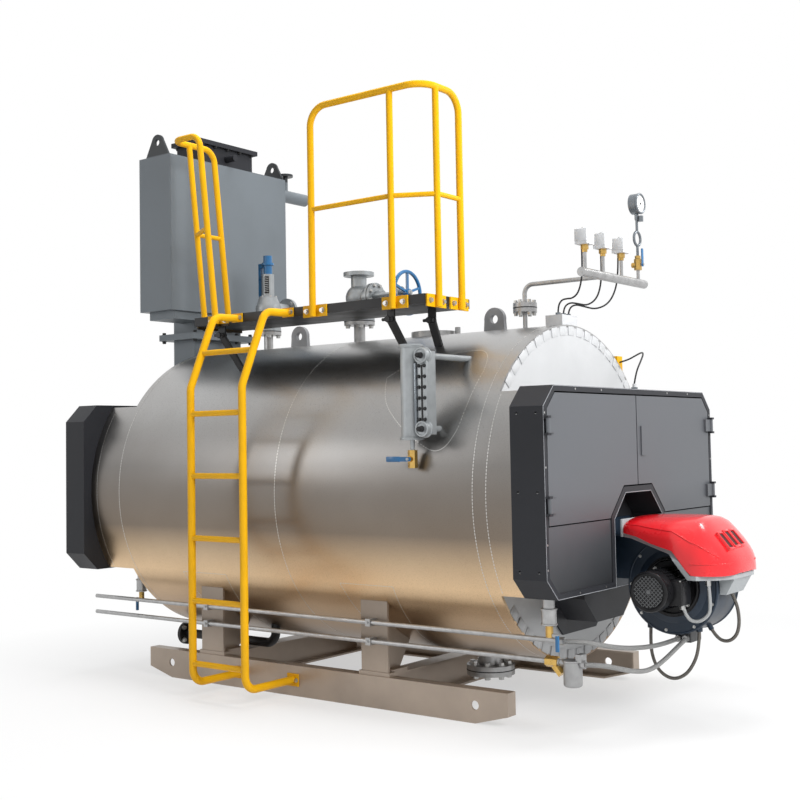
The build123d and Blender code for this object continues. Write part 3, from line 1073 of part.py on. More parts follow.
HOSE_START = FUEL_FRONT[0] + UNION_LENGTH
FILTER_END = FILTER_X + FILTER_D / 2 + 20
SWITCH_LOW = [(MANIFOLD_X - 27, switch_y, SWITCH_Z) for switch_y in SWITCH_Y]
ENTRY_MID = (ENTRY_X[0] + ENTRY_X[1]) / 2 + 10
ROUTES = {
    "fuel_hose_one": (FUEL_HOSE_D, between(
        (HOSE_START, FUEL_Y, FUEL_Z[0]),
        [(68, 8, 4), (123, 48, -8), (163, 110, -25), (191, 185, -37)],
        [(-40, -280, -4), (-22, -200, -7), (-9, -130, -5), (-2, -65, -2)],
        (PUMP_X[0] + 18, PUMP_Y[0], PUMP_LOW + 16),
    )),
    "fuel_hose_two": (FUEL_HOSE_D, between(
        (FILTER_END, FUEL_Y, FUEL_Z[1]),
        [(67, 10, 4), (119, 52, -11), (153, 115, -29), (173, 188, -38)],
        [(-11, -280, -77), (-5, -205, -57), (-2, -135, -36), (0, -65, -15)],
        (PUMP_X[0] + 52, PUMP_Y[0], PUMP_LOW + 18),
    )),
    "conduit_loop": (CONDUIT_D, between(
        (GLAND_X[0], GLAND_Y, CONDUIT_TOP),
        [(-3, 0, -56), (1, 0, -124), (31, 0, -190), (95, 0, -222)],
        [(-65, 0, -194), (-21, 0, -128), (-3, 0, -60)],
        (GLAND_X[1], GLAND_Y, CONDUIT_TOP),
    )),
    "hood_conduit": (CONDUIT_D, between(
        SIDE_GLAND,
        [(25, 0, -38), (72, 0, -47), (110, 0, -18)],
        [(31, 0, -134), (29, 0, -82), (18, 0, -36)],
        (HOOD_TIP - 75, 0, BUMPER_LOW),
    )),
    "motor_conduit": (CONDUIT_D, between(
        (HOOD_TIP - 93, -200, HOOD_NOSE_LOW - TRIM_DEPTH),
        [(4, -1, -46), (7, -3, -92), (6, -7, -140)],
        [(59, 18, -77), (11, 4, -59)],
        (TERMINAL_X - 18, MOTOR_END + 112, TERMINAL_LOW),
    )),
    "switch_cable_one": (CABLE_D, between(
        tuple(Vector(*SWITCH_LOW[0]) + Vector(0, 22, 0)),
        [(0, 2, -78), (-13, 17, -153), (-48, 45, -208)],
        [(104, -48, 66), (64, -29, 70), (26, -12, 68), (0, 0, 40)],
        (ENTRY_MID, -48, ENTRY_TOP),
    )),
    "switch_cable_two": (CABLE_D, between(
        tuple(Vector(*SWITCH_LOW[1]) + Vector(0, 32, 0)),
        [(0, 2, -78), (-9, 12, -158), (-37, 20, -222)],
        [(112, 32, 42), (68, 22, 54), (28, 10, 62), (0, 2, 38)],
        (ENTRY_MID, 2, ENTRY_TOP),
    )),
    "switch_cable_three": (CABLE_D, between(
        tuple(Vector(*SWITCH_LOW[2]) + Vector(0, 22, 0)),
        [(0, -2, -78), (-11, -10, -170), (-43, -28, -236)],
        [(104, 82, 32), (62, 50, 46), (26, 20, 58), (2, 2, 36)],
        (ENTRY_MID, 48, ENTRY_TOP),
    )),
    "junction_cable": (CABLE_D, between(
        (JUNCTION_X[1], JUNCTION_Y[0] + 26, JUNCTION_TOP - 30),
        [(46, -2, 8), (102, -24, 28), (158, -70, 38)],
        [(-19, 145, 150), (-2, 80, 112), (0, 22, 57)],
        (*GLAND_AT, GLAND_TOP),
    )),
}
for name, (diameter, points) in ROUTES.items():
    with BuildPart() as cord:
        with BuildLine() as cord_line:
            FilletPolyline(*points, radius=route_radii(points))
        with BuildSketch(Plane(origin=cord_line.line @ 0, z_dir=cord_line.line % 0)):
            Circle(diameter / 2)
        sweep(path=cord_line.line)
    finish(cord, name)
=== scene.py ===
import math
import bmesh
import bpy
from mathutils import Matrix, Vector


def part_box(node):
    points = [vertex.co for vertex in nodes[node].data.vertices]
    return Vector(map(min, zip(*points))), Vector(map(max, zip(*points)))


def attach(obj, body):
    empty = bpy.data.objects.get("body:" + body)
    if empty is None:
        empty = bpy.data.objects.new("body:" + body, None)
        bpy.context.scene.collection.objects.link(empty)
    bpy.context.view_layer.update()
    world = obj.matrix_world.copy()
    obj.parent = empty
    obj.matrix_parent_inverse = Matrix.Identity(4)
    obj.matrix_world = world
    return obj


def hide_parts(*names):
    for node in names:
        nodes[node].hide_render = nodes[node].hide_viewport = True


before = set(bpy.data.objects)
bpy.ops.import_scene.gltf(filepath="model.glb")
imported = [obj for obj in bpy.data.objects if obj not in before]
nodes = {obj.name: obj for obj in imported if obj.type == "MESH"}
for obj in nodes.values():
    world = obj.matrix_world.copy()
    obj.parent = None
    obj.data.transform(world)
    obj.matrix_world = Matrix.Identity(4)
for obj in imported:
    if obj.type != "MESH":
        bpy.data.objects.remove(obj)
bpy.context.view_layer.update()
scene = bpy.context.scene
ROOT = "boiler"
X, Y, Z = Vector((1, 0, 0)), Vector((0, 1, 0)), Vector((0, 0, 1))

# Camera: the photographer's place and view, found from the photograph
CAMERA_PLACE = Vector((3.539, -5.0358, 1.2236))
CAMERA_TURN = math.radians(37.536)
CAMERA_RISE = math.radians(3.0016)
CAMERA_ROLL = math.radians(-1.0071)
LENS_MM = 54.544
SENSOR_MM = 36
SHIFT_X = 0.00885
SHIFT_Y = -0.02727
VIEW_END = 100


def add_camera():
    level = Vector((-math.sin(CAMERA_TURN), math.cos(CAMERA_TURN), 0))
    side = Vector((math.cos(CAMERA_TURN), math.sin(CAMERA_TURN), 0))
    look = level * math.cos(CAMERA_RISE) + Z * math.sin(CAMERA_RISE)
    tilt = Z * math.cos(CAMERA_RISE) - level * math.sin(CAMERA_RISE)
    right = side * math.cos(CAMERA_ROLL) + tilt * math.sin(CAMERA_ROLL)
    top = tilt * math.cos(CAMERA_ROLL) - side * math.sin(CAMERA_ROLL)
    data = bpy.data.cameras.new("camera")
    data.lens = LENS_MM
    data.sensor_width = SENSOR_MM
    data.shift_x = SHIFT_X
    data.shift_y = SHIFT_Y
    data.clip_end = VIEW_END
    camera = bpy.data.objects.new("camera", data)
    matrix = Matrix((right, top, -look)).transposed().to_4x4()
    matrix.translation = CAMERA_PLACE
    camera.matrix_world = matrix
    scene.collection.objects.link(camera)
    scene.camera = camera


add_camera()


# Materials
CLOUD_LOW = 0.3
CLOUD_HIGH = 0.7
COAT_ROUGHNESS = 0.08
# Top of the height span of the jacket's painted reflections and shade
JACKET_PAINTED_LIGHT_TOP = 1.8


def new_material(name):
    material = bpy.data.materials.new(name)
    material.use_nodes = True
    tree = material.node_tree
    return material, tree, tree.nodes["Principled BSDF"]


def tint(colour, factor):
    """The colour made lighter or darker."""
    return (*[min(1.0, c * factor) for c in colour], 1)


def around(colour, vary):
    """Ramp stops from a darker to a lighter shade of a colour."""
    return [(CLOUD_LOW, tint(colour, 1 - vary)), (CLOUD_HIGH, tint(colour, 1 + vary))]


def noise(tree, scale, detail=4.0, stretch=(1, 1, 1), rough=0.55):
    """Noise over the surface, stretched along the object's axes."""
    coords = tree.nodes.new("ShaderNodeTexCoord")
    mapping = tree.nodes.new("ShaderNodeMapping")
    mapping.inputs["Scale"].default_value = stretch
    texture = tree.nodes.new("ShaderNodeTexNoise")
    texture.inputs["Scale"].default_value = scale
    texture.inputs["Detail"].default_value = detail
    texture.inputs["Roughness"].default_value = rough
    tree.links.new(coords.outputs["Object"], mapping.inputs["Vector"])
    tree.links.new(mapping.outputs["Vector"], texture.inputs["Vector"])
    return texture


def ramp(tree, source, stops):
    """Colours for the values of a source, as stops of (value, colour)."""
    node = tree.nodes.new("ShaderNodeValToRGB")
    elements = node.color_ramp.elements
    elements[0].position, elements[0].color = stops[0]
    elements[1].position, elements[1].color = stops[-1]
    for place, colour in stops[1:-1]:
        elements.new(place).color = colour
    tree.links.new(source, node.inputs["Fac"])
    return node


def spread(tree, source, low, high, output):
    """Sends a source that varies like noise to an input, between two values."""
    node = tree.nodes.new("ShaderNodeMapRange")
    node.inputs["From Min"].default_value = CLOUD_LOW
    node.inputs["From Max"].default_value = CLOUD_HIGH
    node.inputs["To Min"].default_value = low
    node.inputs["To Max"].default_value = high
    tree.links.new(source, node.inputs["Value"])
    tree.links.new(node.outputs["Result"], output)


def bump(tree, shader, source, strength, distance):
    node = tree.nodes.new("ShaderNodeBump")
    node.inputs["Strength"].default_value = strength
    node.inputs["Distance"].default_value = distance
    tree.links.new(source, node.inputs["Height"])
    tree.links.new(node.outputs["Normal"], shader.inputs["Normal"])


def multiplied(tree, one, two):
    """The product of two colours."""
    mix = tree.nodes.new("ShaderNodeMix")
    mix.data_type = "RGBA"
    mix.blend_type = "MULTIPLY"
    mix.inputs["Factor"].default_value = 1.0
    tree.links.new(one, mix.inputs["A"])
    tree.links.new(two, mix.inputs["B"])
    return mix.outputs["Result"]


def rise(tree, low, high):
    """How far up between two heights a point of the surface lies."""
    coords = tree.nodes.new("ShaderNodeTexCoord")
    split = tree.nodes.new("ShaderNodeSeparateXYZ")
    node = tree.nodes.new("ShaderNodeMapRange")
    node.inputs["From Min"].default_value = low
    node.inputs["From Max"].default_value = high
    tree.links.new(coords.outputs["Object"], split.inputs["Vector"])
    tree.links.new(split.outputs["Z"], node.inputs["Value"])
    return node.outputs["Result"]


def coated(name, colour, rough, metal=0.0, vary=0.08, scale=5.0, grain=140.0, depth=0.0004, coat=0.0,
           darker=None, shine=0.5):
    """A painted, cast or moulded surface: cloudy colour, uneven gloss and a fine texture.

    A surface may get darker between two heights, given as (from, to, shade at the first, shade at the other).
    On the end plates, the doors and the panels this darkening is painted shade.
    """
    material, tree, shader = new_material(name)
    cloud = noise(tree, scale, 6)
    colours = ramp(tree, cloud.outputs["Fac"], around(colour, vary))
    result = colours.outputs["Color"]
    # Darkening between two heights: painted shade on the end plates, the doors and the panels
    if darker:
        low, high, first, last = darker
        stops = [(0.0, (first, first, first, 1)), (1.0, (last, last, last, 1))]
        shades = ramp(tree, rise(tree, low, high), stops)
        result = multiplied(tree, result, shades.outputs["Color"])
    tree.links.new(result, shader.inputs["Base Color"])
    shader.inputs["Metallic"].default_value = metal
    shader.inputs["Specular IOR Level"].default_value = shine
    shader.inputs["Coat Weight"].default_value = coat
    shader.inputs["Coat Roughness"].default_value = COAT_ROUGHNESS
    spread(tree, cloud.outputs["Fac"], rough * 0.85, rough * 1.2, shader.inputs["Roughness"])
    fine = noise(tree, grain, 3)
    bump(tree, shader, fine.outputs["Fac"], 0.35, depth)
    return material


def brushed(name, colour, rough, along, vary=0.12, depth=0.00015, fine=260.0, shade=None):
    """Metal brushed along one axis, with streaks in colour and gloss, and painted reflections and shade that
    change with height.
    """
    material, tree, shader = new_material(name)
    stretch = [fine, fine, fine]
    stretch[along] = 2.5
    streak = noise(tree, 1.0, 5, stretch, 0.7)
    cloud = noise(tree, 1.6, 4)
    colours = ramp(tree, streak.outputs["Fac"], around(colour, vary))
    stops = [(CLOUD_LOW, (0.86, 0.84, 0.82, 1)), (CLOUD_HIGH, (1, 1, 1, 1))]
    clouds = ramp(tree, cloud.outputs["Fac"], stops)
    result = multiplied(tree, colours.outputs["Color"], clouds.outputs["Color"])
    # Painted reflections and shade: colour stops by height multiplied into the steel's colour
    if shade:
        shades = ramp(tree, rise(tree, 0.0, JACKET_PAINTED_LIGHT_TOP), shade)
        result = multiplied(tree, result, shades.outputs["Color"])
    tree.links.new(result, shader.inputs["Base Color"])
    shader.inputs["Metallic"].default_value = 1.0
    spread(tree, streak.outputs["Fac"], rough * 0.8, rough * 1.25, shader.inputs["Roughness"])
    bump(tree, shader, streak.outputs["Fac"], 0.25, depth)
    return material


def woven(name, dark, light, rough, scale):
    """A braided or ribbed hose cover: crossing bands along the length of the hose."""
    material, tree, shader = new_material(name)
    coords = tree.nodes.new("ShaderNodeTexCoord")
    bands = tree.nodes.new("ShaderNodeTexWave")
    bands.bands_direction = "DIAGONAL"
    bands.inputs["Scale"].default_value = scale
    bands.inputs["Distortion"].default_value = 1.5
    tree.links.new(coords.outputs["Object"], bands.inputs["Vector"])
    colours = ramp(tree, bands.outputs["Fac"], [(0.25, (*dark, 1)), (0.75, (*light, 1))])
    tree.links.new(colours.outputs["Color"], shader.inputs["Base Color"])
    shader.inputs["Metallic"].default_value = 0.5
    spread(tree, bands.outputs["Fac"], rough * 0.8, rough * 1.2, shader.inputs["Roughness"])
    bump(tree, shader, bands.outputs["Fac"], 0.6, 0.0012)
    return material


# Painted reflections and shade on the jacket, by height: dark at the bottom, warm and pale low down, dark
# above the middle and paler near the top. They stand in for what the polished steel mirrors and are the same
# from every side.
JACKET_PAINTED_LIGHT = [
    (0.10, (0.20, 0.155, 0.12, 1)), (0.22, (0.66, 0.48, 0.31, 1)), (0.32, (1.0, 0.76, 0.49, 1)),
    (0.45, (0.28, 0.24, 0.20, 1)), (0.62, (0.26, 0.26, 0.26, 1)), (0.80, (0.54, 0.56, 0.58, 1)),
    (1.0, (0.66, 0.69, 0.72, 1)),
]
JACKET = brushed("jacket_steel", (0.80, 0.77, 0.74), rough=0.32, along=1, shade=JACKET_PAINTED_LIGHT)
STITCH = coated("stitch_steel", (0.62, 0.61, 0.59), rough=0.34, metal=0.9, vary=0.10, scale=40.0)
# The end plates darken towards the bottom: painted shade
DISC = coated("disc_sheet", (0.66, 0.67, 0.68), rough=0.40, metal=0.35, vary=0.06, scale=3.0,
              darker=(0.40, 1.2, 0.50, 1.0))
FRAME_PAINT = coated("frame_paint", (0.400, 0.330, 0.270), rough=0.36, metal=0.5, vary=0.12, scale=4.0,
                     darker=(0.14, 0.30, 1.0, 0.72))
BOX_PAINT = coated("smokebox_paint", (0.026, 0.027, 0.031), rough=0.45, vary=0.12, scale=3.0, shine=0.2)
# The doors and lower panels darken towards the bottom: painted shade
DOOR_PAINT = coated("door_paint", (0.098, 0.104, 0.114), rough=0.45, metal=0.1, vary=0.08, scale=2.5,
                    darker=(0.60, 1.0, 0.30, 1.0))
EDGE = coated("edge_paint", (0.30, 0.31, 0.33), rough=0.45, metal=0.1, vary=0.06, scale=12.0)
ECON_PAINT = coated("economizer_paint", (0.155, 0.176, 0.193), rough=0.42, metal=0.15, vary=0.08, scale=2.5,
                    darker=(2.852, 2.860, 1.0, 0.16))
YELLOW = coated("yellow_paint", (0.80, 0.42, 0.006), rough=0.44, vary=0.06, scale=9.0, shine=0.25)
REAR_YELLOW = coated("rear_guard_paint", (0.80, 0.42, 0.006), rough=0.44, vary=0.06, scale=9.0,
                     shine=0.25, darker=(1.846, 1.848, 0.03, 1.0))
LUG = coated("lug_steel", (0.270, 0.275, 0.285), rough=0.42, metal=0.3, vary=0.12, scale=12.0)
BLACK = coated("black_paint", (0.018, 0.018, 0.019), rough=0.42, vary=0.2, scale=8.0, shine=0.3)
CASING = coated("burner_paint", (0.012, 0.023, 0.040), rough=0.40, metal=0.1, vary=0.15, scale=6.0)
MOTOR = coated("motor_black", (0.009, 0.009, 0.010), rough=0.28, vary=0.2, scale=12.0, coat=0.1, shine=0.2)
GRILLE = coated("grille_grey", (0.15, 0.155, 0.16), rough=0.35, metal=0.3, vary=0.1, scale=20.0)
RED = coated("hood_red", (0.70, 0.008, 0.014), rough=0.26, vary=0.05, scale=5.0, depth=0.00008, coat=0.5)
VENT = coated("vent_shadow", (0.035, 0.002, 0.003), rough=0.5, vary=0.1, scale=20.0)
TRIM = coated("trim_grey", (0.33, 0.35, 0.36), rough=0.5, vary=0.08, scale=12.0)
GALVANISED = coated("galvanised", (0.40, 0.40, 0.40), rough=0.36, metal=0.85, vary=0.16, scale=26.0)
STEEL = coated("zinc_steel", (0.50, 0.50, 0.49), rough=0.32, metal=0.9, vary=0.10, scale=40.0)
SILVER = coated("cast_silver", (0.36, 0.38, 0.39), rough=0.40, metal=0.6, vary=0.10, scale=22.0, grain=90.0,
                depth=0.0008)
BLUE = coated("blue_plastic", (0.012, 0.125, 0.30), rough=0.30, vary=0.10, scale=16.0, coat=0.3)
BRASS = coated("brass", (0.62, 0.40, 0.12), rough=0.28, metal=1.0, vary=0.15, scale=40.0)
WHITE = coated("white_plastic", (0.62, 0.63, 0.64), rough=0.45, vary=0.05, scale=14.0)
DIAL = coated("dial_white", (0.80, 0.80, 0.79), rough=0.5, vary=0.03, scale=30.0)
CASE = coated("gauge_case", (0.20, 0.22, 0.24), rough=0.26, metal=0.8, vary=0.1, scale=20.0)
RUBBER = coated("black_rubber", (0.012, 0.012, 0.013), rough=0.55, vary=0.2, scale=60.0)
CAST = coated("cast_light", (0.36, 0.36, 0.36), rough=0.42, metal=0.8, vary=0.12, scale=30.0, grain=90.0,
              depth=0.0008)
DARK_CAST = coated("dark_cast", (0.060, 0.062, 0.064), rough=0.40, metal=0.5, vary=0.12, scale=30.0,
                   grain=90.0, depth=0.0008)
BRAID = woven("braid", (0.10, 0.10, 0.10), light=(0.46, 0.46, 0.45), rough=0.38, scale=90.0)
PALE_CONDUIT = woven("pale_conduit", (0.26, 0.27, 0.27), light=(0.48, 0.49, 0.49), rough=0.45, scale=70.0)
CONDUIT = woven("conduit", (0.060, 0.054, 0.048), light=(0.20, 0.185, 0.165), rough=0.45, scale=70.0)

LOOKS = {
    JACKET: ["boiler_shell", "front_neck", "rear_neck"],
    DISC: ["front_end_plate", "rear_end_plate"],
    FRAME_PAINT: ["skid_rail_near", "skid_rail_far", "cross_beams", "front_legs", "rear_legs"],
    BOX_PAINT: ["front_smokebox", "rear_smokebox", "rear_cover", "burner_mount", "flue_outlet"],
    DOOR_PAINT: ["near_door", "far_door", "lower_panels"],
    ECON_PAINT: ["economizer", "flue_duct"],
    YELLOW: ["ladder", "front_guard", "junction_box"],
    REAR_YELLOW: ["rear_guard"],
    LUG: ["shell_lugs"],
    BLACK: ["platform", "blowdown_pipe"],
    CASING: ["burner_casing"],
    MOTOR: ["fan_motor"],
    RED: ["burner_hood"],
    TRIM: ["hood_trim"],
    GALVANISED: ["fuel_pipes", "pipe_clamps", "shell_nozzles", "manifold", "drains"],
    SILVER: ["steam_valve", "safety_valve", "level_column", "level_gauge"],
    BLUE: ["steam_handwheel", "safety_cap", "drain_lever", "gauge_cock_lever"],
    WHITE: ["pressure_switches", "cable_entries"],
    CASE: ["pressure_gauge"],
    CAST: ["fuel_filter"],
    DARK_CAST: ["fuel_pump"],
}
for material, names in LOOKS.items():
    for name in names:
        mesh = nodes[name].data
        mesh.materials.clear()
        mesh.materials.append(material)


# Free hoses and cables, each through the points of its route in metres
def cord(name, points, diameter, material, slot, stiffness, length):
    data = bpy.data.curves.new(name, "CURVE")
    data.dimensions = "3D"
    data.resolution_u = 12
    data.bevel_depth = diameter / 2
    data.bevel_resolution = 5
    data.use_fill_caps = True
    spline = data.splines.new("NURBS")
    spline.points.add(len(points) - 1)
    for point, place in zip(spline.points, points):
        point.co = (*place, 1)
    spline.order_u = 3
    spline.use_endpoint_u = True
    data.materials.append(material)
    line = bpy.data.objects.new(name, data)
    scene.collection.objects.link(line)
    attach(line, ROOT)
    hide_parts(name.removesuffix("_line"))


FUEL_HOSE = dict(diameter=0.020, material=BRAID, slot="braid", stiffness="stiff")
BURNER_CONDUIT = dict(diameter=0.015, slot="conduit", stiffness="stiff")
CABLE = dict(diameter=0.008, material=RUBBER, slot="black_rubber", stiffness="medium")
cord("fuel_hose_one_line", [
    (1.027, -0.640, 0.394), (1.095, -0.632, 0.398), (1.150, -0.592, 0.386), (1.190, -0.530, 0.369),
    (1.218, -0.455, 0.357), (1.240, -0.375, 0.350), (1.258, -0.295, 0.347), (1.271, -0.225, 0.349),
    (1.278, -0.160, 0.352), (1.280, -0.095, 0.354),
], **FUEL_HOSE, length=0.659)
cord("fuel_hose_two_line", [
    (1.119, -0.640, 0.308), (1.186, -0.630, 0.312), (1.238, -0.588, 0.297), (1.272, -0.525, 0.279),
    (1.292, -0.452, 0.270), (1.303, -0.375, 0.279), (1.309, -0.300, 0.299), (1.312, -0.230, 0.320),
    (1.314, -0.160, 0.341), (1.314, -0.095, 0.356),
], **FUEL_HOSE, length=0.652)
cord("conduit_loop_line", [
    (1.131, -0.060, 0.386), (1.128, -0.060, 0.330), (1.132, -0.060, 0.262), (1.162, -0.060, 0.196),
    (1.226, -0.060, 0.164), (1.292, -0.060, 0.192), (1.336, -0.060, 0.258), (1.354, -0.060, 0.326),
    (1.357, -0.060, 0.386),
], **BURNER_CONDUIT, material=CONDUIT, length=0.540)
cord("hood_conduit_line", [
    (1.3892, 0, 0.3868), (1.4142, 0, 0.3488), (1.4612, 0, 0.3398), (1.4992, 0, 0.3688),
    (1.513, 0, 0.418), (1.511, 0, 0.470), (1.500, 0, 0.516), (1.482, 0, 0.552),
], **BURNER_CONDUIT, material=CONDUIT, length=0.325)
cord("motor_conduit_line", [
    (1.464, -0.200, 0.622), (1.468, -0.201, 0.576), (1.471, -0.203, 0.530), (1.470, -0.207, 0.482),
    (1.424, -0.222, 0.446), (1.376, -0.236, 0.464), (1.365, -0.240, 0.523),
], **BURNER_CONDUIT, material=PALE_CONDUIT, length=0.303)
cord("switch_cable_one_line", [
    (0.893, -0.167, 2.098), (0.893, -0.165, 2.020), (0.880, -0.150, 1.945), (0.845, -0.122, 1.890),
    (0.799, -0.096, 1.872), (0.759, -0.077, 1.876), (0.721, -0.060, 1.874), (0.695, -0.048, 1.846),
    (0.695, -0.048, 1.806),
], **CABLE, length=0.442)
cord("switch_cable_two_line", [
    (0.893, 0.016, 2.098), (0.893, 0.018, 2.020), (0.884, 0.028, 1.940), (0.856, 0.036, 1.876),
    (0.807, 0.034, 1.848), (0.763, 0.024, 1.860), (0.723, 0.012, 1.868), (0.695, 0.004, 1.844),
    (0.695, 0.002, 1.806),
], **CABLE, length=0.442)
cord("switch_cable_three_line", [
    (0.893, 0.190, 2.098), (0.893, 0.188, 2.020), (0.882, 0.180, 1.928), (0.850, 0.162, 1.862),
    (0.799, 0.130, 1.838), (0.757, 0.098, 1.852), (0.721, 0.068, 1.864), (0.697, 0.050, 1.842),
    (0.695, 0.048, 1.806),
], **CABLE, length=0.479)
cord("junction_cable_line", [
    (0.730, 0.500, 1.604), (0.776, 0.498, 1.612), (0.832, 0.476, 1.632), (0.888, 0.430, 1.642),
    (0.926, 0.365, 1.628), (0.943, 0.300, 1.590), (0.945, 0.242, 1.535), (0.945, 0.220, 1.478),
], **CABLE, length=0.473)


# Sizes that the details share, in metres, taken from the CAD frame
shell_low, shell_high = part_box("boiler_shell")
RADIUS = (shell_high.z - shell_low.z) / 2
AXIS_Z = (shell_high.z + shell_low.z) / 2
neck_low, neck_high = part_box("front_neck")


# Mesh tools
SMOOTH_BELOW = math.radians(38)
WASHER_PART = 0.22
HEAD_PART = 0.78
WASHER_REACH = 0.68
HEX_REACH = 0.577
HEX_TOP_REACH = 0.54


def placed(centre, axis, spin=0.0):
    """A frame at a point whose Z runs along an axis."""
    turn = Vector(axis).to_track_quat("Z", "Y").to_matrix().to_4x4()
    return Matrix.Translation(centre) @ turn @ Matrix.Rotation(spin, 4, "Z")


def add_tube(mesh, start, end, radius, sides=28, end_radius=None):
    """A round bar between two points, or a cone, or a prism where it has few sides."""
    run = Vector(end) - Vector(start)
    bmesh.ops.create_cone(mesh, cap_ends=True, segments=sides, radius1=radius,
                          radius2=radius if end_radius is None else end_radius, depth=run.length,
                          matrix=placed((Vector(start) + Vector(end)) / 2, run))


def add_block(mesh, low, high, matrix=None, soft=0.0):
    """A block between two corners, with its edges rounded off."""
    low, high = Vector(low), Vector(high)
    place = Matrix.Translation((low + high) / 2) @ Matrix.Diagonal((*(high - low), 1))
    made = bmesh.ops.create_cube(mesh, size=1, matrix=(matrix or Matrix()) @ place)
    if soft:
        edges = {edge for corner in made["verts"] for edge in corner.link_edges}
        bmesh.ops.bevel(mesh, geom=list(edges), offset=soft, segments=2, profile=0.5, affect="EDGES")


def add_ring(mesh, centre, axis, radius, thick, sides=48, section=10):
    """A ring of round section."""
    place = placed(centre, axis)
    loops = []
    for side in range(sides):
        a = 2 * math.pi * side / sides
        loop = []
        for step in range(section):
            b = 2 * math.pi * step / section
            reach = radius + thick * math.cos(b)
            point = Vector((reach * math.cos(a), reach * math.sin(a), thick * math.sin(b)))
            loop.append(mesh.verts.new(place @ point))
        loops.append(loop)
    for one, two in zip(loops, loops[1:] + loops[:1]):
        for step in range(section):
            after = (step + 1) % section
            mesh.faces.new((one[step], two[step], two[after], one[after]))


def add_bolt(mesh, centre, axis, across, height, spin=0.0):
    """A hexagon head on its washer."""
    way = Vector(axis).normalized()
    foot = Vector(centre) + way * height * WASHER_PART
    add_tube(mesh, centre, foot, across * WASHER_REACH, 20)
    head = placed(foot + way * height * HEAD_PART / 2, way, spin)
    bmesh.ops.create_cone(mesh, cap_ends=True, segments=6, radius1=across * HEX_REACH,
                          radius2=across * HEX_TOP_REACH, depth=height * HEAD_PART, matrix=head)


def add_bolt_circle(mesh, centre, axis, circle, count, across, height):
    """Bolts at even steps round a circle, the first one half a step from its start."""
    place = placed(centre, axis)
    for step in range(count):
        a = 2 * math.pi * (step + 0.5) / count
        spot = place @ Vector((circle * math.cos(a), circle * math.sin(a), 0))
        add_bolt(mesh, spot, axis, across, height, a)


def add_path(mesh, points, wide, tall, matrix):
    """A thin flat strip along an outline drawn in a plane."""
    for (u0, v0), (u1, v1) in zip(points, points[1:]):
        run = Vector((u1 - u0, v1 - v0, 0))
        turn = Matrix.Rotation(math.atan2(run.y, run.x), 4, "Z")
        place = matrix @ Matrix.Translation((u0, v0, 0)) @ turn
        add_block(mesh, (-wide / 2, -wide / 2, 0), (run.length + wide / 2, wide / 2, tall), place)


def piece(name, mesh, material, body=ROOT, stands_for=()):
    """Turns a mesh into a scene piece that rides on a body."""
    bmesh.ops.recalc_face_normals(mesh, faces=mesh.faces)
    data = bpy.data.meshes.new(name)
    mesh.to_mesh(data)
    mesh.free()
    data.shade_smooth()
    data.set_sharp_from_angle(angle=SMOOTH_BELOW)
    data.materials.append(material)
    thing = bpy.data.objects.new(name, data)
    scene.collection.objects.link(thing)
    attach(thing, body)
    if stands_for:
        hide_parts(*stands_for)


# Stitched seams on the jacket, as paths of (x, angle above the near side)
SEAM_RINGS = (-1.590, -0.458, 0.678)
GAUGE_PATCH = [
    (0.065, 44), (0.130, 49), (0.292, 54.5), (0.430, 57), (0.515, 56.5), (0.568, 53), (0.596, 47),
    (0.597, 40), (0.578, 25), (0.553, 19.5), (0.515, 16), (0.460, 15), (0.382, 17.5), (0.250, 24),
    (0.130, 33), (0.065, 44),
]
LEG_PATCH = [(-0.110, -68), (-0.157, -32), (0.157, -32), (0.110, -68)]
NECK_SEAM_X = -1.774
NECK_SEAM_IN = 0.012
STITCH_LONG = 0.010
STITCH_GAP = 0.005
STITCH_WIDE = 0.0034
STITCH_LOW = -0.0005
STITCH_HIGH = 0.0008


def on_shell(x, angle):
    """A point of the jacket."""
    a = math.radians(angle)
    return Vector((x, -RADIUS * math.cos(a), AXIS_Z + RADIUS * math.sin(a)))


def rounded(path, steps=6):
    """The path as a smooth curve through its points."""
    ends = [path[0], *path, path[-1]]
    curve = [path[0]]
    for a, b, c, d in zip(ends, ends[1:], ends[2:], ends[3:]):
        for step in range(1, steps + 1):
            t = step / steps
            curve.append(tuple(
                q + t * (r - p + t * (2 * p - 5 * q + 4 * r - s + t * (3 * q - 3 * r + s - p))) / 2
                for p, q, r, s in zip(a, b, c, d)
            ))
    return curve


def add_stitches(mesh, path):
    """Short raised dashes along a path on the shell."""
    for (x0, a0), (x1, a1) in zip(path, path[1:]):
        arc = RADIUS * math.radians(a1 - a0)
        count = max(1, round(math.hypot(x1 - x0, arc) / (STITCH_LONG + STITCH_GAP)))
        for step in range(count):
            t = (step + 0.5) / count
            a = math.radians(a0 + (a1 - a0) * t)
            normal = Vector((0, -math.cos(a), math.sin(a)))
            along = Vector((x1 - x0, arc * math.sin(a), arc * math.cos(a))).normalized()
            place = Matrix((along, normal.cross(along), normal)).transposed().to_4x4()
            place.translation = on_shell(x0 + (x1 - x0) * t, a0 + (a1 - a0) * t)
            add_block(mesh, (-STITCH_LONG / 2, -STITCH_WIDE / 2, STITCH_LOW),
                      (STITCH_LONG / 2, STITCH_WIDE / 2, STITCH_HIGH), place)


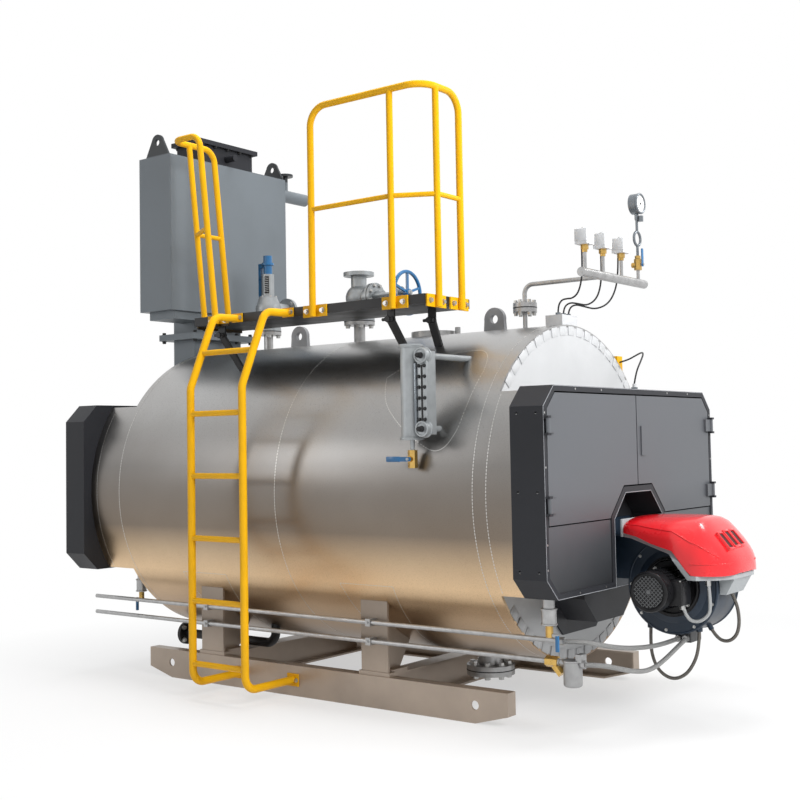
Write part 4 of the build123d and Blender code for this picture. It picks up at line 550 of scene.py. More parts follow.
def add_seams():
    mesh = bmesh.new()
    for x in SEAM_RINGS:
        add_stitches(mesh, [(x, angle) for angle in range(-90, 271, 15)])
    add_stitches(mesh, rounded(GAUGE_PATCH))
    for leg in ("front_legs", "rear_legs"):
        low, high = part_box(leg)
        middle = (low.x + high.x) / 2
        add_stitches(mesh, [(middle + x, angle) for x, angle in LEG_PATCH])
        add_stitches(mesh, [(middle + x, 180 - angle) for x, angle in LEG_PATCH])
    top = math.degrees(math.asin((neck_high.z - AXIS_Z) / RADIUS)) - 1
    bottom = math.degrees(math.asin((neck_low.z - AXIS_Z) / RADIUS)) + 1
    seams = (NECK_SEAM_X, neck_low.x + NECK_SEAM_IN)
    for x in seams:
        add_stitches(mesh, [(x, bottom), (x, top)])
    for x in seams:
        add_stitches(mesh, [(x, 180 - bottom), (x, 180 - top)])
    piece("jacket_seams", mesh, STITCH)


TAB_COUNT = 60
TAB_WIDE = 0.056
TAB_LONG = 0.043
TAB_THICK = 0.003
TAB_INNER = RADIUS - 0.050
TAB_MIDDLE = TAB_INNER + 0.02
TAB_LEAN = 0.03
TAB_CLEAR = 0.03


def add_rim_tabs():
    """Crimped tabs round both end discs, where the necks leave them in sight."""
    mesh = bmesh.new()
    for face, way, neck in ((shell_high.x, 1, "front_neck"), (shell_low.x, -1, "rear_neck")):
        low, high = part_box(neck)
        for step in range(TAB_COUNT):
            a = 2 * math.pi * step / TAB_COUNT
            middle_z = AXIS_Z + TAB_MIDDLE * math.sin(a)
            if low.z - TAB_CLEAR < middle_z < high.z + TAB_CLEAR:
                continue
            spin = Matrix.Rotation(a, 4, "X")
            lean = Matrix.Rotation(way * (TAB_LEAN if step % 2 else -TAB_LEAN), 4, "Y")
            out = Matrix.Translation((0, TAB_INNER, 0))
            place = Matrix.Translation((face, 0, AXIS_Z)) @ spin @ out @ lean
            back, front = sorted((0, way * TAB_THICK))
            add_block(mesh, (back, 0, -TAB_WIDE / 2), (front, TAB_LONG, TAB_WIDE / 2), place, 0.0008)
    piece("rim_tabs", mesh, DISC)


# Fasteners. Pairs of level flanges are (x, height of the joint, radius, thickness, bolts, width of a head)
FLANGES = (
    (-0.550, 1.870, 0.0825, 0.020, 4, 0.024), (-1.219, 1.861, 0.0725, 0.020, 4, 0.024),
    (0.485, 1.860, 0.058, 0.022, 6, 0.019), (0.243, 0.108, 0.1175, 0.024, 8, 0.026),
)
BOLT_CIRCLE_PART = 0.76
GASKET_HALF = 0.0025
GASKET_PROUD = 0.0006
BONNET = Vector((-0.428, 0, 1.998))
SAFETY_X = -1.219
DUCT_BOLT_X = (-1.845, -1.585)
DUCT_BOLT_Y = (-0.225, -0.1125, 0, 0.1125, 0.225)
DUCT_BOLT_Z = ((1, 1.870), (-1, 1.834))
OUTLET_BOLT_X = (-1.638 - 0.107, -1.638 + 0.107)
OUTLET_BOLT_Y = (-0.2, -0.1, 0, 0.1, 0.2)
OUTLET_BOLT_Z = 2.965


def add_flange_bolts():
    mesh = bmesh.new()
    gaskets = bmesh.new()
    for x, joint, radius, thick, count, across in FLANGES:
        for way in (1, -1):
            face = (x, 0, joint + way * thick)
            add_bolt_circle(mesh, face, Z * way, radius * BOLT_CIRCLE_PART, count, across, 0.016)
        add_tube(gaskets, (x, 0, joint - GASKET_HALF), (x, 0, joint + GASKET_HALF), radius + GASKET_PROUD, 64)
    add_bolt_circle(mesh, BONNET, X, 0.058, 8, 0.016, 0.012)
    add_tube(gaskets, BONNET - X * 0.020, BONNET - X * 0.016, 0.0716, 64)
    add_bolt_circle(mesh, (SAFETY_X, 0.150, 1.990), -Y, 0.060, 4, 0.020, 0.014)
    add_bolt_circle(mesh, (SAFETY_X, 0, 2.0564), Z, 0.044, 6, 0.013, 0.010)
    add_bolt_circle(mesh, (-1.560, -0.320, 0.176), X, 0.047, 4, 0.020, 0.014)
    dark = bmesh.new()
    for y in DUCT_BOLT_Y:
        for x in DUCT_BOLT_X:
            for way, z in DUCT_BOLT_Z:
                add_bolt(dark, (x, y, z), Z * way, 0.020, 0.014)
    for y in OUTLET_BOLT_Y:
        for x in OUTLET_BOLT_X:
            add_bolt(dark, (x, y, OUTLET_BOLT_Z), -Z, 0.016, 0.011)
    piece("flue_bolts", dark, BLACK)
    piece("flange_bolts", mesh, STEEL)
    piece("gaskets", gaskets, RUBBER)


# Posts of the guards: x of the near ones, and (x of the plate, its way, y of the posts) at the deck's ends
GUARD_NEAR_POSTS = (-0.318, 0.170, -0.981)
GUARD_END_POSTS = ((0.345, 1, (-0.5396, -0.3546)), (-1.173, -1, (-0.5216, -0.3406)))
BOLT_OFF = 0.050
PLATE_FACE = -0.6296
PLATE_MID_Z = 1.863
LADDER_RAIL_X = (-0.8455, -0.4954)
LADDER_BOLT_OFF = 0.024
LADDER_FEET = ((-0.6280, 0.078), (PLATE_FACE, 1.8695))


def add_guard_bolts():
    mesh = bmesh.new()
    for x in GUARD_NEAR_POSTS:
        for off in (-BOLT_OFF, BOLT_OFF):
            add_bolt(mesh, (x + off, PLATE_FACE, PLATE_MID_Z), -Y, 0.019, 0.013, 0.4)
    for x, way, posts in GUARD_END_POSTS:
        for y in posts:
            for off in (-BOLT_OFF, BOLT_OFF):
                add_bolt(mesh, (x, y + off, PLATE_MID_Z), X * way, 0.019, 0.013, 0.4)
    for x in LADDER_RAIL_X:
        for off in (-LADDER_BOLT_OFF, LADDER_BOLT_OFF):
            for y, z in LADDER_FEET:
                add_bolt(mesh, (x + off, y, z), -Y, 0.016, 0.011)
    piece("guard_bolts", mesh, STEEL)


STAY_BENDS = ((0.119, -0.590), (0.224, -0.410), (-0.989, -0.590))
KNOB_Z = 1.791


def add_stay_knobs():
    """Black clamp knobs at the bends of the platform's stays."""
    mesh = bmesh.new()
    for x, y in STAY_BENDS:
        for way in (-1, 1):
            start = Vector((x, y - 0.004 * way, KNOB_Z))
            add_tube(mesh, start, start - Y * 0.016 * way, 0.012, 18)
        hub = Vector((x, y - 0.020, KNOB_Z))
        add_tube(mesh, hub, hub - Y * 0.014, 0.016, 6)
        add_tube(mesh, hub - X * 0.036, hub + X * 0.020, 0.0075, 14, 0.0095)
    piece("stay_knobs", mesh, BLACK)


# Burner
FAN = Vector((1.265, 0, 0.578))
FAN_R = 0.204
FAN_NEAR = -0.120
MOTOR_R = 0.083
MOTOR_END = -0.352
FIN_COUNT = 30
FIN_HALF = 0.0016
FIN_Y = (-0.290, -0.140)
FIN_GAP = 0.55
GRILLE_R = 0.066
GRILLE_PITCH = 0.0125
GRILLE_BARS = 5
GRILLE_BAR_HALF = 0.0011
LID_SCREW_X = (1.326, 1.378)
LID_SCREW_Y = (-0.288, -0.206)
LID_TOP = 0.620
CONDUIT_GLANDS = (
    ((1.365, -0.240, 0.500), (1.365, -0.240, 0.520)), ((1.464, -0.200, 0.600), (1.464, -0.200, 0.622)),
)
LOOP_GLAND_X = (1.131, 1.357)


def add_motor():
    """The fan motor's cover and fins, with its terminal box, fan grille and screws."""
    fins = bmesh.new()
    for step in range(FIN_COUNT):
        a = 2 * math.pi * step / FIN_COUNT
        if abs(math.sin(a)) < FIN_GAP and math.cos(a) > 0:
            continue
        place = Matrix.Translation(FAN) @ Matrix.Rotation(-a, 4, "Y")
        add_block(fins, (MOTOR_R - 0.004, FIN_Y[0], -FIN_HALF), (MOTOR_R + 0.005, FIN_Y[1], FIN_HALF), place)
    add_tube(fins, FAN + Y * -0.296, FAN + Y * (MOTOR_END + 0.006), MOTOR_R + 0.003, 48)
    add_ring(fins, FAN + Y * (MOTOR_END + 0.004), Y, MOTOR_R - 0.008, 0.010, 48, 12)
    add_block(fins, (1.318, -0.296, 0.519), (1.3865, -0.198, LID_TOP), None, 0.006)
    add_block(fins, (1.330, -0.290, 0.616), (1.375, -0.204, 0.626), None, 0.004)
    add_ring(fins, FAN + Y * (FAN_NEAR - 0.008), Y, 0.118, 0.007, 56, 10)
    piece("motor_body", fins, MOTOR)
    grille = bmesh.new()
    for way in (math.radians(45), math.radians(-45)):
        place = Matrix.Translation(FAN + Y * (MOTOR_END - 0.001)) @ Matrix.Rotation(way, 4, "Y")
        for step in range(-GRILLE_BARS, GRILLE_BARS + 1):
            off = step * GRILLE_PITCH
            half = math.sqrt(GRILLE_R ** 2 - off ** 2)
            add_block(grille, (-half, -0.0018, off - GRILLE_BAR_HALF), (half, 0.0005, off + GRILLE_BAR_HALF),
                      place)
    add_tube(grille, FAN + Y * MOTOR_END, FAN + Y * (MOTOR_END - 0.004), 0.009, 24)
    piece("motor_grille", grille, GRILLE)
    screws = bmesh.new()
    add_bolt_circle(screws, FAN + Y * (FAN_NEAR - 0.008), -Y, 0.104, 4, 0.013, 0.009)
    add_bolt_circle(screws, FAN + Y * FAN_NEAR, -Y, 0.192, 9, 0.010, 0.007)
    for x in LID_SCREW_X:
        for y in LID_SCREW_Y:
            add_bolt(screws, (x, y, LID_TOP), Z, 0.008, 0.005)
    for start, end in CONDUIT_GLANDS:
        add_tube(screws, start, end, 0.0115, 6)
    piece("burner_screws", screws, STEEL)


def add_casing():
    """Rims of the fan casing and the glands of the conduit below it."""
    mesh = bmesh.new()
    for y in (FAN_NEAR + 0.004, 0.106):
        add_ring(mesh, FAN + Y * y, Y, FAN_R - 0.002, 0.0065, 72, 10)
    add_tube(mesh, FAN + Y * (FAN_NEAR + 0.001), FAN + Y * (FAN_NEAR - 0.006), 0.160, 56, 0.150)
    for x in LOOP_GLAND_X:
        add_tube(mesh, (x, -0.060, 0.384), (x, -0.060, 0.402), 0.0145, 6)
    piece("casing_rims", mesh, CASING)


# Cross-sections of the hood, as (x, lower edge, top, half width)
HOOD_STATIONS = (
    (1.080, 0.808, 0.866, 0.203), (1.092, 0.806, 0.874, 0.211), (1.150, 0.795, 0.878, 0.219),
    (1.220, 0.768, 0.880, 0.229), (1.280, 0.752, 0.880, 0.236), (1.320, 0.742, 0.880, 0.239),
    (1.350, 0.705, 0.880, 0.240), (1.380, 0.665, 0.879, 0.240), (1.405, 0.642, 0.876, 0.240),
    (1.425, 0.640, 0.866, 0.238), (1.450, 0.640, 0.840, 0.233), (1.480, 0.640, 0.806, 0.222),
    (1.508, 0.640, 0.772, 0.198), (1.530, 0.640, 0.744, 0.166), (1.546, 0.642, 0.716, 0.128),
    (1.556, 0.648, 0.690, 0.080),
)
HOOD_STEPS = 32
HOOD_SIDE = 0.75
HOOD_CROWN = 0.60
HOOD_SLOPE = math.radians(49.5)
HOOD_VENT_X = 1.500
HOOD_VENT_Y = (-0.092, -0.033, 0.026)
HOOD_CREASE_TURN = math.radians(24)
HOOD_BAND_Z = 0.690
HOOD_BAND_X = 1.405
CREASE_R = 0.0032


def hood_point(x, low, top, half, turn):
    """A point of the hood's cross-section, from the near lower edge over the top to the far one."""
    across, up = math.cos(turn), max(0.0, math.sin(turn))
    y = -half * math.copysign(abs(across) ** HOOD_SIDE, across)
    return Vector((x, y, low + (top - low) * up ** HOOD_CROWN))


def hood_height(x, y):
    """How high the hood's surface is above the floor at a place."""
    for one, two in zip(HOOD_STATIONS, HOOD_STATIONS[1:]):
        if one[0] <= x <= two[0]:
            t = (x - one[0]) / (two[0] - one[0])
            low, top, half = (a + (b - a) * t for a, b in zip(one[1:], two[1:]))
    across = (abs(y) / half) ** (1 / HOOD_SIDE)
    return low + (top - low) * math.sqrt(1 - across ** 2) ** HOOD_CROWN


def hood_band(way):
    """Points at one height around the hood's tip, on the near side for way -1 and the far one for 1."""
    points = []
    for x, low, top, half in HOOD_STATIONS:
        if x >= HOOD_BAND_X and top > HOOD_BAND_Z:
            turn = math.asin(((HOOD_BAND_Z - low) / (top - low)) ** (1 / HOOD_CROWN))
            point = hood_point(x, low, top, half, turn)
            points.append(Vector((x, -way * point.y, point.z)))
    return points


def add_line(mesh, points, radius):
    """A raised round line through points."""
    for start, end in zip(points, points[1:]):
        add_tube(mesh, start, end, radius, 10)


def add_hood():
    """The burner's hood, with its louvres, creases and rear trim."""
    mesh = bmesh.new()
    rows = []
    for station in HOOD_STATIONS:
        turns = [math.pi * step / HOOD_STEPS for step in range(HOOD_STEPS + 1)]
        rows.append([mesh.verts.new(hood_point(*station, turn)) for turn in turns])
    for one, two in zip(rows, rows[1:]):
        for step in range(HOOD_STEPS):
            mesh.faces.new((one[step], one[step + 1], two[step + 1], two[step]))
    mesh.faces.new(rows[0])
    mesh.faces.new(rows[-1])
    for one, two in zip(rows, rows[1:]):
        mesh.faces.new((one[0], two[0], two[-1], one[-1]))
    piece("hood_cover", mesh, RED, stands_for=["burner_hood"])
    vents = bmesh.new()
    lips = bmesh.new()
    for y in HOOD_VENT_Y:
        spot = Matrix.Translation((HOOD_VENT_X, y, hood_height(HOOD_VENT_X, y)))
        place = spot @ Matrix.Rotation(HOOD_SLOPE, 4, "Y")
        add_block(vents, (-0.040, -0.020, -0.014), (0.036, 0.020, 0.005), place, 0.003)
        for end in (-0.043, 0.039):
            add_block(lips, (end - 0.005, -0.028, -0.014), (end + 0.005, 0.028, 0.010), place, 0.004)
        for side in (-0.024, 0.024):
            add_block(lips, (-0.046, side - 0.004, -0.014), (0.042, side + 0.004, 0.009), place, 0.003)
    creases = bmesh.new()
    for turn in (HOOD_CREASE_TURN, math.pi - HOOD_CREASE_TURN):
        line = [hood_point(*station, turn) for station in HOOD_STATIONS[1:-3]]
        add_line(creases, line, CREASE_R)
    for way in (-1, 1):
        add_line(creases, hood_band(way), CREASE_R)
    piece("hood_creases", creases, RED)
    piece("hood_vents", vents, VENT)
    piece("hood_vent_lips", lips, RED)
    trim = bmesh.new()
    add_block(trim, (1.066, -0.205, 0.790), (1.080, 0.205, 0.868), None, 0.005)
    piece("hood_rear_trim", trim, TRIM)


# Pressure set on the manifold
SWITCH_Y = (-0.189, -0.016, 0.168)
CAP_HALF = 0.038
COCK_Z = 2.062
DIAL_R = 0.043
DIAL_THICK = 0.0012
SCALE_R = 0.039
SCALE_STEPS = 24
SCALE_START = 225
SCALE_SWEEP = 270
ENTRY_X = 0.695
ENTRY_Y = (-0.048, 0.002, 0.048)


def add_pressure_set():
    """Switches with their brass and caps, the gauge's bezel and dial, and the cables' glands."""
    brass = bmesh.new()
    caps = bmesh.new()
    low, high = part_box("pressure_switches")
    middle = (low.x + high.x) / 2
    for y in SWITCH_Y:
        add_tube(brass, (middle, y, low.z - 0.022), (middle, y, low.z), 0.018, 6)
        add_tube(brass, (middle, y, low.z - 0.034), (middle, y, low.z - 0.022), 0.0125, 20)
        add_block(caps, (low.x - 0.002, y - CAP_HALF, low.z + 0.012),
                  (high.x + 0.002, y + CAP_HALF, high.z + 0.003), None, 0.005)
        add_tube(caps, (middle, y, high.z), (middle, y, high.z + 0.010), 0.012, 20)
    gauge_low, gauge_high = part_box("pressure_gauge")
    y = (gauge_low.y + gauge_high.y) / 2
    add_tube(brass, (middle, y, 2.036), (middle, y, 2.090), 0.0185, 6)
    add_tube(brass, (middle - 0.030, y, COCK_Z), (middle + 0.012, y, COCK_Z), 0.013, 20)
    add_tube(brass, (middle, y, 2.092), (middle, y, 2.106), 0.014, 6)
    piece("pressure_brass", brass, BRASS)
    piece("switch_caps", caps, WHITE)
    centre = Vector((gauge_high.x, y, gauge_high.z - (gauge_high.y - gauge_low.y) / 2))
    case = bmesh.new()
    add_ring(case, centre, X, 0.046, 0.006, 56, 12)
    add_tube(case, centre - Z * 0.088, centre - Z * 0.060, 0.013, 6)
    piece("gauge_bezel", case, CASE)
    dial = bmesh.new()
    add_tube(dial, centre, centre + X * DIAL_THICK, DIAL_R, 56)
    piece("gauge_dial", dial, DIAL)
    marks = bmesh.new()
    for step in range(SCALE_STEPS + 1):
        a = math.radians(SCALE_START - SCALE_SWEEP * step / SCALE_STEPS)
        place = Matrix.Translation(centre + X * DIAL_THICK) @ Matrix.Rotation(a, 4, "X")
        long = 0.008 if step % 4 == 0 else 0.004
        add_block(marks, (0, SCALE_R - long, -0.0006), (0.0006, SCALE_R, 0.0006), place)
    needle = Matrix.Translation(centre + X * 0.003) @ Matrix.Rotation(math.radians(SCALE_START), 4, "X")
    add_block(marks, (0, -0.010, -0.0010), (0.0008, 0.030, 0.0010), needle)
    add_tube(marks, centre + X * 0.001, centre + X * 0.0045, 0.004, 18)
    piece("gauge_marks", marks, BLACK)
    glands = bmesh.new()
    for y in ENTRY_Y:
        add_tube(glands, (ENTRY_X, y, 1.800), (ENTRY_X, y, 1.818), 0.012, 6)
    add_tube(glands, (0.945, 0.220, 1.444), (0.945, 0.220, 1.462), 0.015, 6)
    piece("entry_glands", glands, CASE)


# Water level set
COLUMN = Vector((0.387, -0.802, 0))
GAUGE_X = 0.473
GAUGE_FACE = -0.832
GAUGE_LOW = 1.252
GAUGE_HIGH = 1.612
GAUGE_HALF = 0.026
GAUGE_COVER = 0.010
GAUGE_BOLT_OFF = 0.015
GAUGE_BOLTS = 6
GAUGE_BOLT_END = 0.064
GLASS_HALF = 0.0045
COLUMN_RIM_R = 0.0515
COLUMN_RIMS = (1.236, 1.639)
DRAIN_COCK_Z = 1.147


def add_level_set():
    """The level gauge's cover, bolts and cocks, the column's rims and its drain cock."""
    steel = bmesh.new()
    dark = bmesh.new()
    add_block(steel, (GAUGE_X - GAUGE_HALF, GAUGE_FACE - GAUGE_COVER, GAUGE_LOW + 0.042),
              (GAUGE_X + GAUGE_HALF, GAUGE_FACE, GAUGE_HIGH - 0.042), None, 0.003)
    pitch = (GAUGE_HIGH - GAUGE_LOW - 2 * GAUGE_BOLT_END) / (GAUGE_BOLTS - 1)
    for x in (GAUGE_X - GAUGE_BOLT_OFF, GAUGE_X + GAUGE_BOLT_OFF):
        for step in range(GAUGE_BOLTS):
            z = GAUGE_LOW + GAUGE_BOLT_END + step * pitch
            add_bolt(dark, (x, GAUGE_FACE - GAUGE_COVER, z), -Y, 0.012, 0.010)
    add_block(dark, (GAUGE_X - GLASS_HALF, GAUGE_FACE - 0.0112, GAUGE_LOW + 0.060),
              (GAUGE_X + GLASS_HALF, GAUGE_FACE - 0.009, GAUGE_HIGH - 0.060))
    for z in (GAUGE_LOW + 0.024, GAUGE_HIGH - 0.020):
        cock = Vector((GAUGE_X, GAUGE_FACE + 0.020, z))
        add_tube(steel, cock, cock - Y * 0.038, 0.034, 40)
        add_ring(steel, cock - Y * 0.038, Y, 0.030, 0.005, 40, 10)
        add_ring(steel, cock - Y * 0.010, Y, 0.034, 0.004, 40, 10)
        add_tube(dark, cock - Y * 0.038, cock - Y * 0.058, 0.014, 18, 0.011)
        add_bolt(dark, cock - Y * 0.058, -Y, 0.016, 0.010)
    plate = bmesh.new()
    add_block(plate, (0.434, -0.848, 1.290), (0.446, -0.826, 1.560), None, 0.002)
    piece("gauge_side_plate", plate, CASE)
    for z in COLUMN_RIMS:
        add_ring(steel, COLUMN + Z * z, Z, COLUMN_RIM_R, 0.004, 48, 10)
    piece("level_fittings", steel, SILVER)
    piece("level_bolts", dark, BLACK)
    brass = bmesh.new()
    add_tube(brass, COLUMN + Z * 1.108, COLUMN + Z * 1.186, 0.0215, 6)
    add_tube(brass, COLUMN + Z * DRAIN_COCK_Z, COLUMN + Z * DRAIN_COCK_Z - Y * 0.030, 0.013, 20)
    piece("drain_cock", brass, BRASS)
    grip = bmesh.new()
    add_block(grip, (0.268, -0.8415, 1.135), (0.345, -0.8305, 1.159), None, 0.005)
    piece("drain_grip", grip, BLUE, "drain_lever")


# Drains as (x, y, lower end, width, side of the handle), and the fittings of the two fuel lines
DRAINS = ((0.980, -0.684, 0.462, 0.062, 1), (-1.705, -0.530, 0.420, 0.055, -1))
HANDLE_NEAR = 0.029
HANDLE_FAR = 0.0432
HANDLE_HALF = 0.006
LINE_Y = -0.640
UPPER_LINE_Z = 0.394
LOWER_LINE_Z = 0.308
STRAINER = Vector((0.964, LINE_Y, LOWER_LINE_Z))
STRAINER_BRANCH = Vector((0.042, 0, -0.046)).normalized()
HOSE_NUTS = ((1.010, 1.028, UPPER_LINE_Z), (1.104, 1.1195, LOWER_LINE_Z))
PUMP_NUTS = ((1.280, 0.354), (1.314, 0.356))
CLAMP_FACE = -0.6557


def add_pipe_fittings():
    brass = bmesh.new()
    steel = bmesh.new()
    blue = bmesh.new()
    for x, y, low, wide, way in DRAINS:
        for z in (low + 0.004, low + 0.066):
            add_ring(steel, (x, y, z), Z, wide / 2, 0.004, 40, 10)
        add_tube(brass, (x, y, low - 0.049), (x, y, low - 0.001), 0.0155, 6)
        left, right = sorted((x + way * HANDLE_NEAR, x + way * HANDLE_FAR))
        add_block(blue, (left, y - HANDLE_HALF, low - 0.1060), (right, y + HANDLE_HALF, low - 0.040),
                  None, 0.002)
    add_tube(brass, STRAINER + STRAINER_BRANCH * 0.020, STRAINER + STRAINER_BRANCH * 0.066, 0.0195, 6)
    add_tube(brass, (0.9385, LINE_Y, LOWER_LINE_Z), (0.9950, LINE_Y, LOWER_LINE_Z), 0.0235, 6)
    for start, end, z in HOSE_NUTS:
        add_tube(steel, (start, LINE_Y, z), (end, LINE_Y, z), 0.0175, 6)
    for x, z in PUMP_NUTS:
        add_tube(steel, (x, -0.113, z), (x, -0.0945, z), 0.0150, 6)
    add_ring(steel, (1.060, LINE_Y, 0.318), Z, 0.0385, 0.0045, 40, 10)
    add_block(steel, (1.085, -0.664, 0.316), (1.112, -0.616, 0.350), None, 0.003)
    for leg in ("front_legs", "rear_legs"):
        low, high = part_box(leg)
        x = (low.x + high.x) / 2
        for z in (UPPER_LINE_Z, LOWER_LINE_Z):
            add_bolt(steel, (x, CLAMP_FACE, z), -Y, 0.010, 0.006)
    piece("pipe_brass", brass, BRASS)
    piece("pipe_steel", steel, GALVANISED)
    piece("drain_handles", blue, BLUE)


# Front smoke box
FRONT_PLANE = Matrix(((0, 0, 1, 0), (1, 0, 0, 0), (0, 1, 0, 0), (0, 0, 0, 1)))
FRONT_FACE = 1.059
WELL_HALF = 0.2385
WELL_FOOT = 0.5745
WELL_EDGE = [
    (-WELL_HALF, WELL_FOOT), (-WELL_HALF, 0.869), (-0.127, 0.9805), (0.127, 0.9805), (WELL_HALF, 0.869),
    (WELL_HALF, WELL_FOOT),
]
SCREW_R = 0.0045
SCREW_X = (1.0575, 1.0600)
EDGE_SCREW_Y = (-0.560, -0.330, 0.330, 0.560)
EDGE_SCREW_Z = (0.5855, 1.4315)
END_SCREW_Y = 0.8165
END_SCREW_Z = (0.700, 0.800, 1.110, 1.330)
SIDE_FACE = (0.8285, 0.8290)
SIDE_SCREW_X = (0.935, 1.025)
SIDE_SCREW_Z = (0.690, 1.010, 1.330)


def octagon(half, low, high, cut):
    """The corners of a rectangle with its corners cut off."""
    return [
        (half, low + cut), (half, high - cut), (half - cut, high), (cut - half, high),
        (-half, high - cut), (-half, low + cut), (cut - half, low), (half - cut, low),
    ]


def add_box_trim():
    """Bright edges round the front and the burner's well, and the screws of the box."""
    edges = bmesh.new()
    face = Matrix.Translation((FRONT_FACE, 0, 0)) @ FRONT_PLANE
    add_path(edges, WELL_EDGE, 0.003, 0.0012, face)
    rim = octagon(0.8270, 0.5750, 1.4420, 0.0855)
    add_path(edges, rim[6:] + rim[:7], 0.0025, 0.0010, face)
    piece("box_edges", edges, EDGE)
    screws = bmesh.new()
    places = [(y, z) for y in EDGE_SCREW_Y for z in EDGE_SCREW_Z]
    places += [(y, z) for y in (-END_SCREW_Y, END_SCREW_Y) for z in END_SCREW_Z]
    for y, z in places:
        add_tube(screws, (SCREW_X[0], y, z), (SCREW_X[1], y, z), SCREW_R, 14)
    for way in (-1, 1):
        for x in SIDE_SCREW_X:
            for z in SIDE_SCREW_Z:
                add_tube(screws, (x, way * SIDE_FACE[0], z), (x, way * SIDE_FACE[1], z), SCREW_R, 14)
    piece("box_screws", screws, STEEL)


# Safety valve and the handwheel's nut
SPRING_CENTRE = Vector((SAFETY_X, 0, 2.128))
WINDOW_WAY = Vector((0.52, -0.85, 0)).normalized()
COIL_STEPS = 3
COIL_PITCH = 0.0125
COIL_OUT = 0.0352
COIL_HALF = 0.010
COIL_RISE = 0.002
COIL_R = 0.0026


def add_safety_parts():
    """The safety valve's window with the spring in it and its body, and the handwheel's nut."""
    dark = bmesh.new()
    coils = bmesh.new()
    place = placed(SPRING_CENTRE, WINDOW_WAY, math.pi / 2)
    add_block(dark, (-0.050, -0.013, 0.028), (0.050, 0.013, 0.0358), place, 0.003)
    piece("safety_window", dark, BLACK)
    run = WINDOW_WAY.cross(Z) * COIL_HALF + Z * COIL_RISE
    for step in range(-COIL_STEPS, COIL_STEPS + 1):
        middle = SPRING_CENTRE + Z * step * COIL_PITCH + WINDOW_WAY * COIL_OUT
        add_tube(coils, middle - run, middle + run, COIL_R, 12)
    add_tube(coils, (SAFETY_X, 0, 1.880), (SAFETY_X, 0, 1.935), 0.066, 48, 0.048)
    add_tube(coils, (SAFETY_X, 0, 2.020), (SAFETY_X, 0, 2.060), 0.066, 48, 0.050)
    piece("safety_body_parts", coils, SILVER)
    wheel = bmesh.new()
    add_bolt(wheel, (-0.2110, 0, 1.998), X, 0.022, 0.012)
    piece("wheel_nut", wheel, STEEL, "steam_handwheel")


add_seams()
add_rim_tabs()
add_flange_bolts()
add_guard_bolts()
add_stay_knobs()
add_motor()
add_casing()
add_hood()
add_pressure_set()
add_level_set()
add_pipe_fittings()
add_box_trim()
add_safety_parts()


# Floor, world and lamps
FLOOR_HALF = 30
FLOOR_COLOUR = (0.86, 0.86, 0.86, 1)
FLOOR_ROUGHNESS = 0.7
SHADOW_NEAR = 1.2
SHADOW_FAR = 3.4
SHADOW_GLOW = 0.55
WORLD_COLOUR = (0.80, 0.82, 0.86, 1)
WORLD_STRENGTH = 0.25
WHITE_LIGHT = (1, 1, 1, 1)


def largest(tree, one, two):
    """The larger one of two values."""
    node = tree.nodes.new("ShaderNodeMath")
    node.operation = "MAXIMUM"
    tree.links.new(one, node.inputs[0])
    tree.links.new(two, node.inputs[1])
    return node.outputs["Value"]


def mixed(tree, factor, one, two, output):
    """Sends a mix of two shaders to the output of a material or the world."""
    mix = tree.nodes.new("ShaderNodeMixShader")
    tree.links.new(factor, mix.inputs["Fac"])
    tree.links.new(one, mix.inputs[1])
    tree.links.new(two, mix.inputs[2])
    tree.links.new(mix.outputs["Shader"], output)


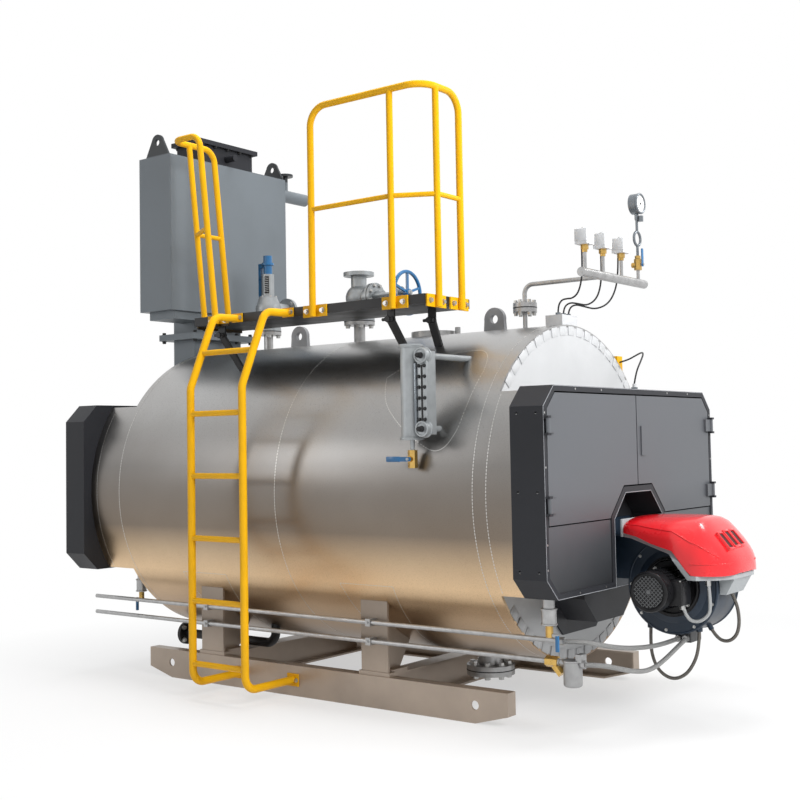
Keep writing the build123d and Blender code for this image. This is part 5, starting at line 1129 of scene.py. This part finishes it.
def add_floor():
    """A floor that looks white to the camera and in gloss, and keeps the shadow near the boiler."""
    mesh = bpy.data.meshes.new("floor")
    corners = [(-1, -1), (1, -1), (1, 1), (-1, 1)]
    mesh.from_pydata([(x * FLOOR_HALF, y * FLOOR_HALF, 0) for x, y in corners], [], [(0, 1, 2, 3)])
    floor = bpy.data.objects.new("floor", mesh)
    scene.collection.objects.link(floor)
    material, tree, shader = new_material("floor_paint")
    shader.inputs["Base Color"].default_value = FLOOR_COLOUR
    shader.inputs["Roughness"].default_value = FLOOR_ROUGHNESS
    glow = tree.nodes.new("ShaderNodeEmission")
    glow.inputs["Color"].default_value = WHITE_LIGHT
    coords = tree.nodes.new("ShaderNodeTexCoord")
    length = tree.nodes.new("ShaderNodeVectorMath")
    length.operation = "LENGTH"
    tree.links.new(coords.outputs["Object"], length.inputs[0])
    fade = tree.nodes.new("ShaderNodeMapRange")
    fade.inputs["From Min"].default_value = SHADOW_NEAR
    fade.inputs["From Max"].default_value = SHADOW_FAR
    fade.inputs["To Min"].default_value = SHADOW_GLOW
    tree.links.new(length.outputs["Value"], fade.inputs["Value"])
    paths = tree.nodes.new("ShaderNodeLightPath")
    direct = largest(tree, paths.outputs["Is Camera Ray"], paths.outputs["Is Glossy Ray"])
    seen = tree.nodes.new("ShaderNodeMath")
    seen.operation = "MULTIPLY"
    tree.links.new(direct, seen.inputs[0])
    tree.links.new(fade.outputs["Result"], seen.inputs[1])
    mixed(tree, seen.outputs["Value"], shader.outputs["BSDF"], glow.outputs["Emission"],
          tree.nodes["Material Output"].inputs["Surface"])
    mesh.materials.append(material)


def add_world():
    """A dim sky that looks white to the camera, in gloss and through glass."""
    world = bpy.data.worlds.new("studio")
    world.use_nodes = True
    scene.world = world
    tree = world.node_tree
    sky = tree.nodes["Background"]
    sky.inputs["Color"].default_value = WORLD_COLOUR
    sky.inputs["Strength"].default_value = WORLD_STRENGTH
    white = tree.nodes.new("ShaderNodeBackground")
    white.inputs["Color"].default_value = WHITE_LIGHT
    white.inputs["Strength"].default_value = 1.0
    paths = tree.nodes.new("ShaderNodeLightPath")
    direct = largest(tree, paths.outputs["Is Camera Ray"], paths.outputs["Is Glossy Ray"])
    seen = largest(tree, direct, paths.outputs["Is Transmission Ray"])
    mixed(tree, seen, sky.outputs["Background"], white.outputs["Background"],
          tree.nodes["World Output"].inputs["Surface"])


def add_lamp(name, place, aim, width, height, power, mirrored=True):
    """An area lamp that faces a point and may be left out of reflections."""
    data = bpy.data.lights.new(name, "AREA")
    data.shape = "RECTANGLE"
    data.size = width
    data.size_y = height
    data.energy = power
    lamp = bpy.data.objects.new(name, data)
    lamp.visible_glossy = mirrored
    lamp.location = place
    lamp.rotation_euler = (Vector(aim) - Vector(place)).to_track_quat("-Z", "Y").to_euler()
    scene.collection.objects.link(lamp)


add_floor()
add_world()
add_lamp("key", (6.2, -1.6, 4.2), aim=(0.2, 0, 1.2), width=3.5, height=3.0, power=500, mirrored=False)
add_lamp("window", (-4.2, -5.0, 2.9), aim=(-0.1, -0.75, 1.15), width=0.8, height=2.2, power=30)
add_lamp("top", (-0.5, 0.3, 6.5), aim=(-0.5, 0, 1.0), width=5.0, height=2.5, power=320, mirrored=False)
add_lamp("glint", (1.9, 1.3, 3.2), aim=(1.42, -0.05, 0.75), width=0.9, height=0.35, power=14)

scene.view_settings.view_transform = "Standard"
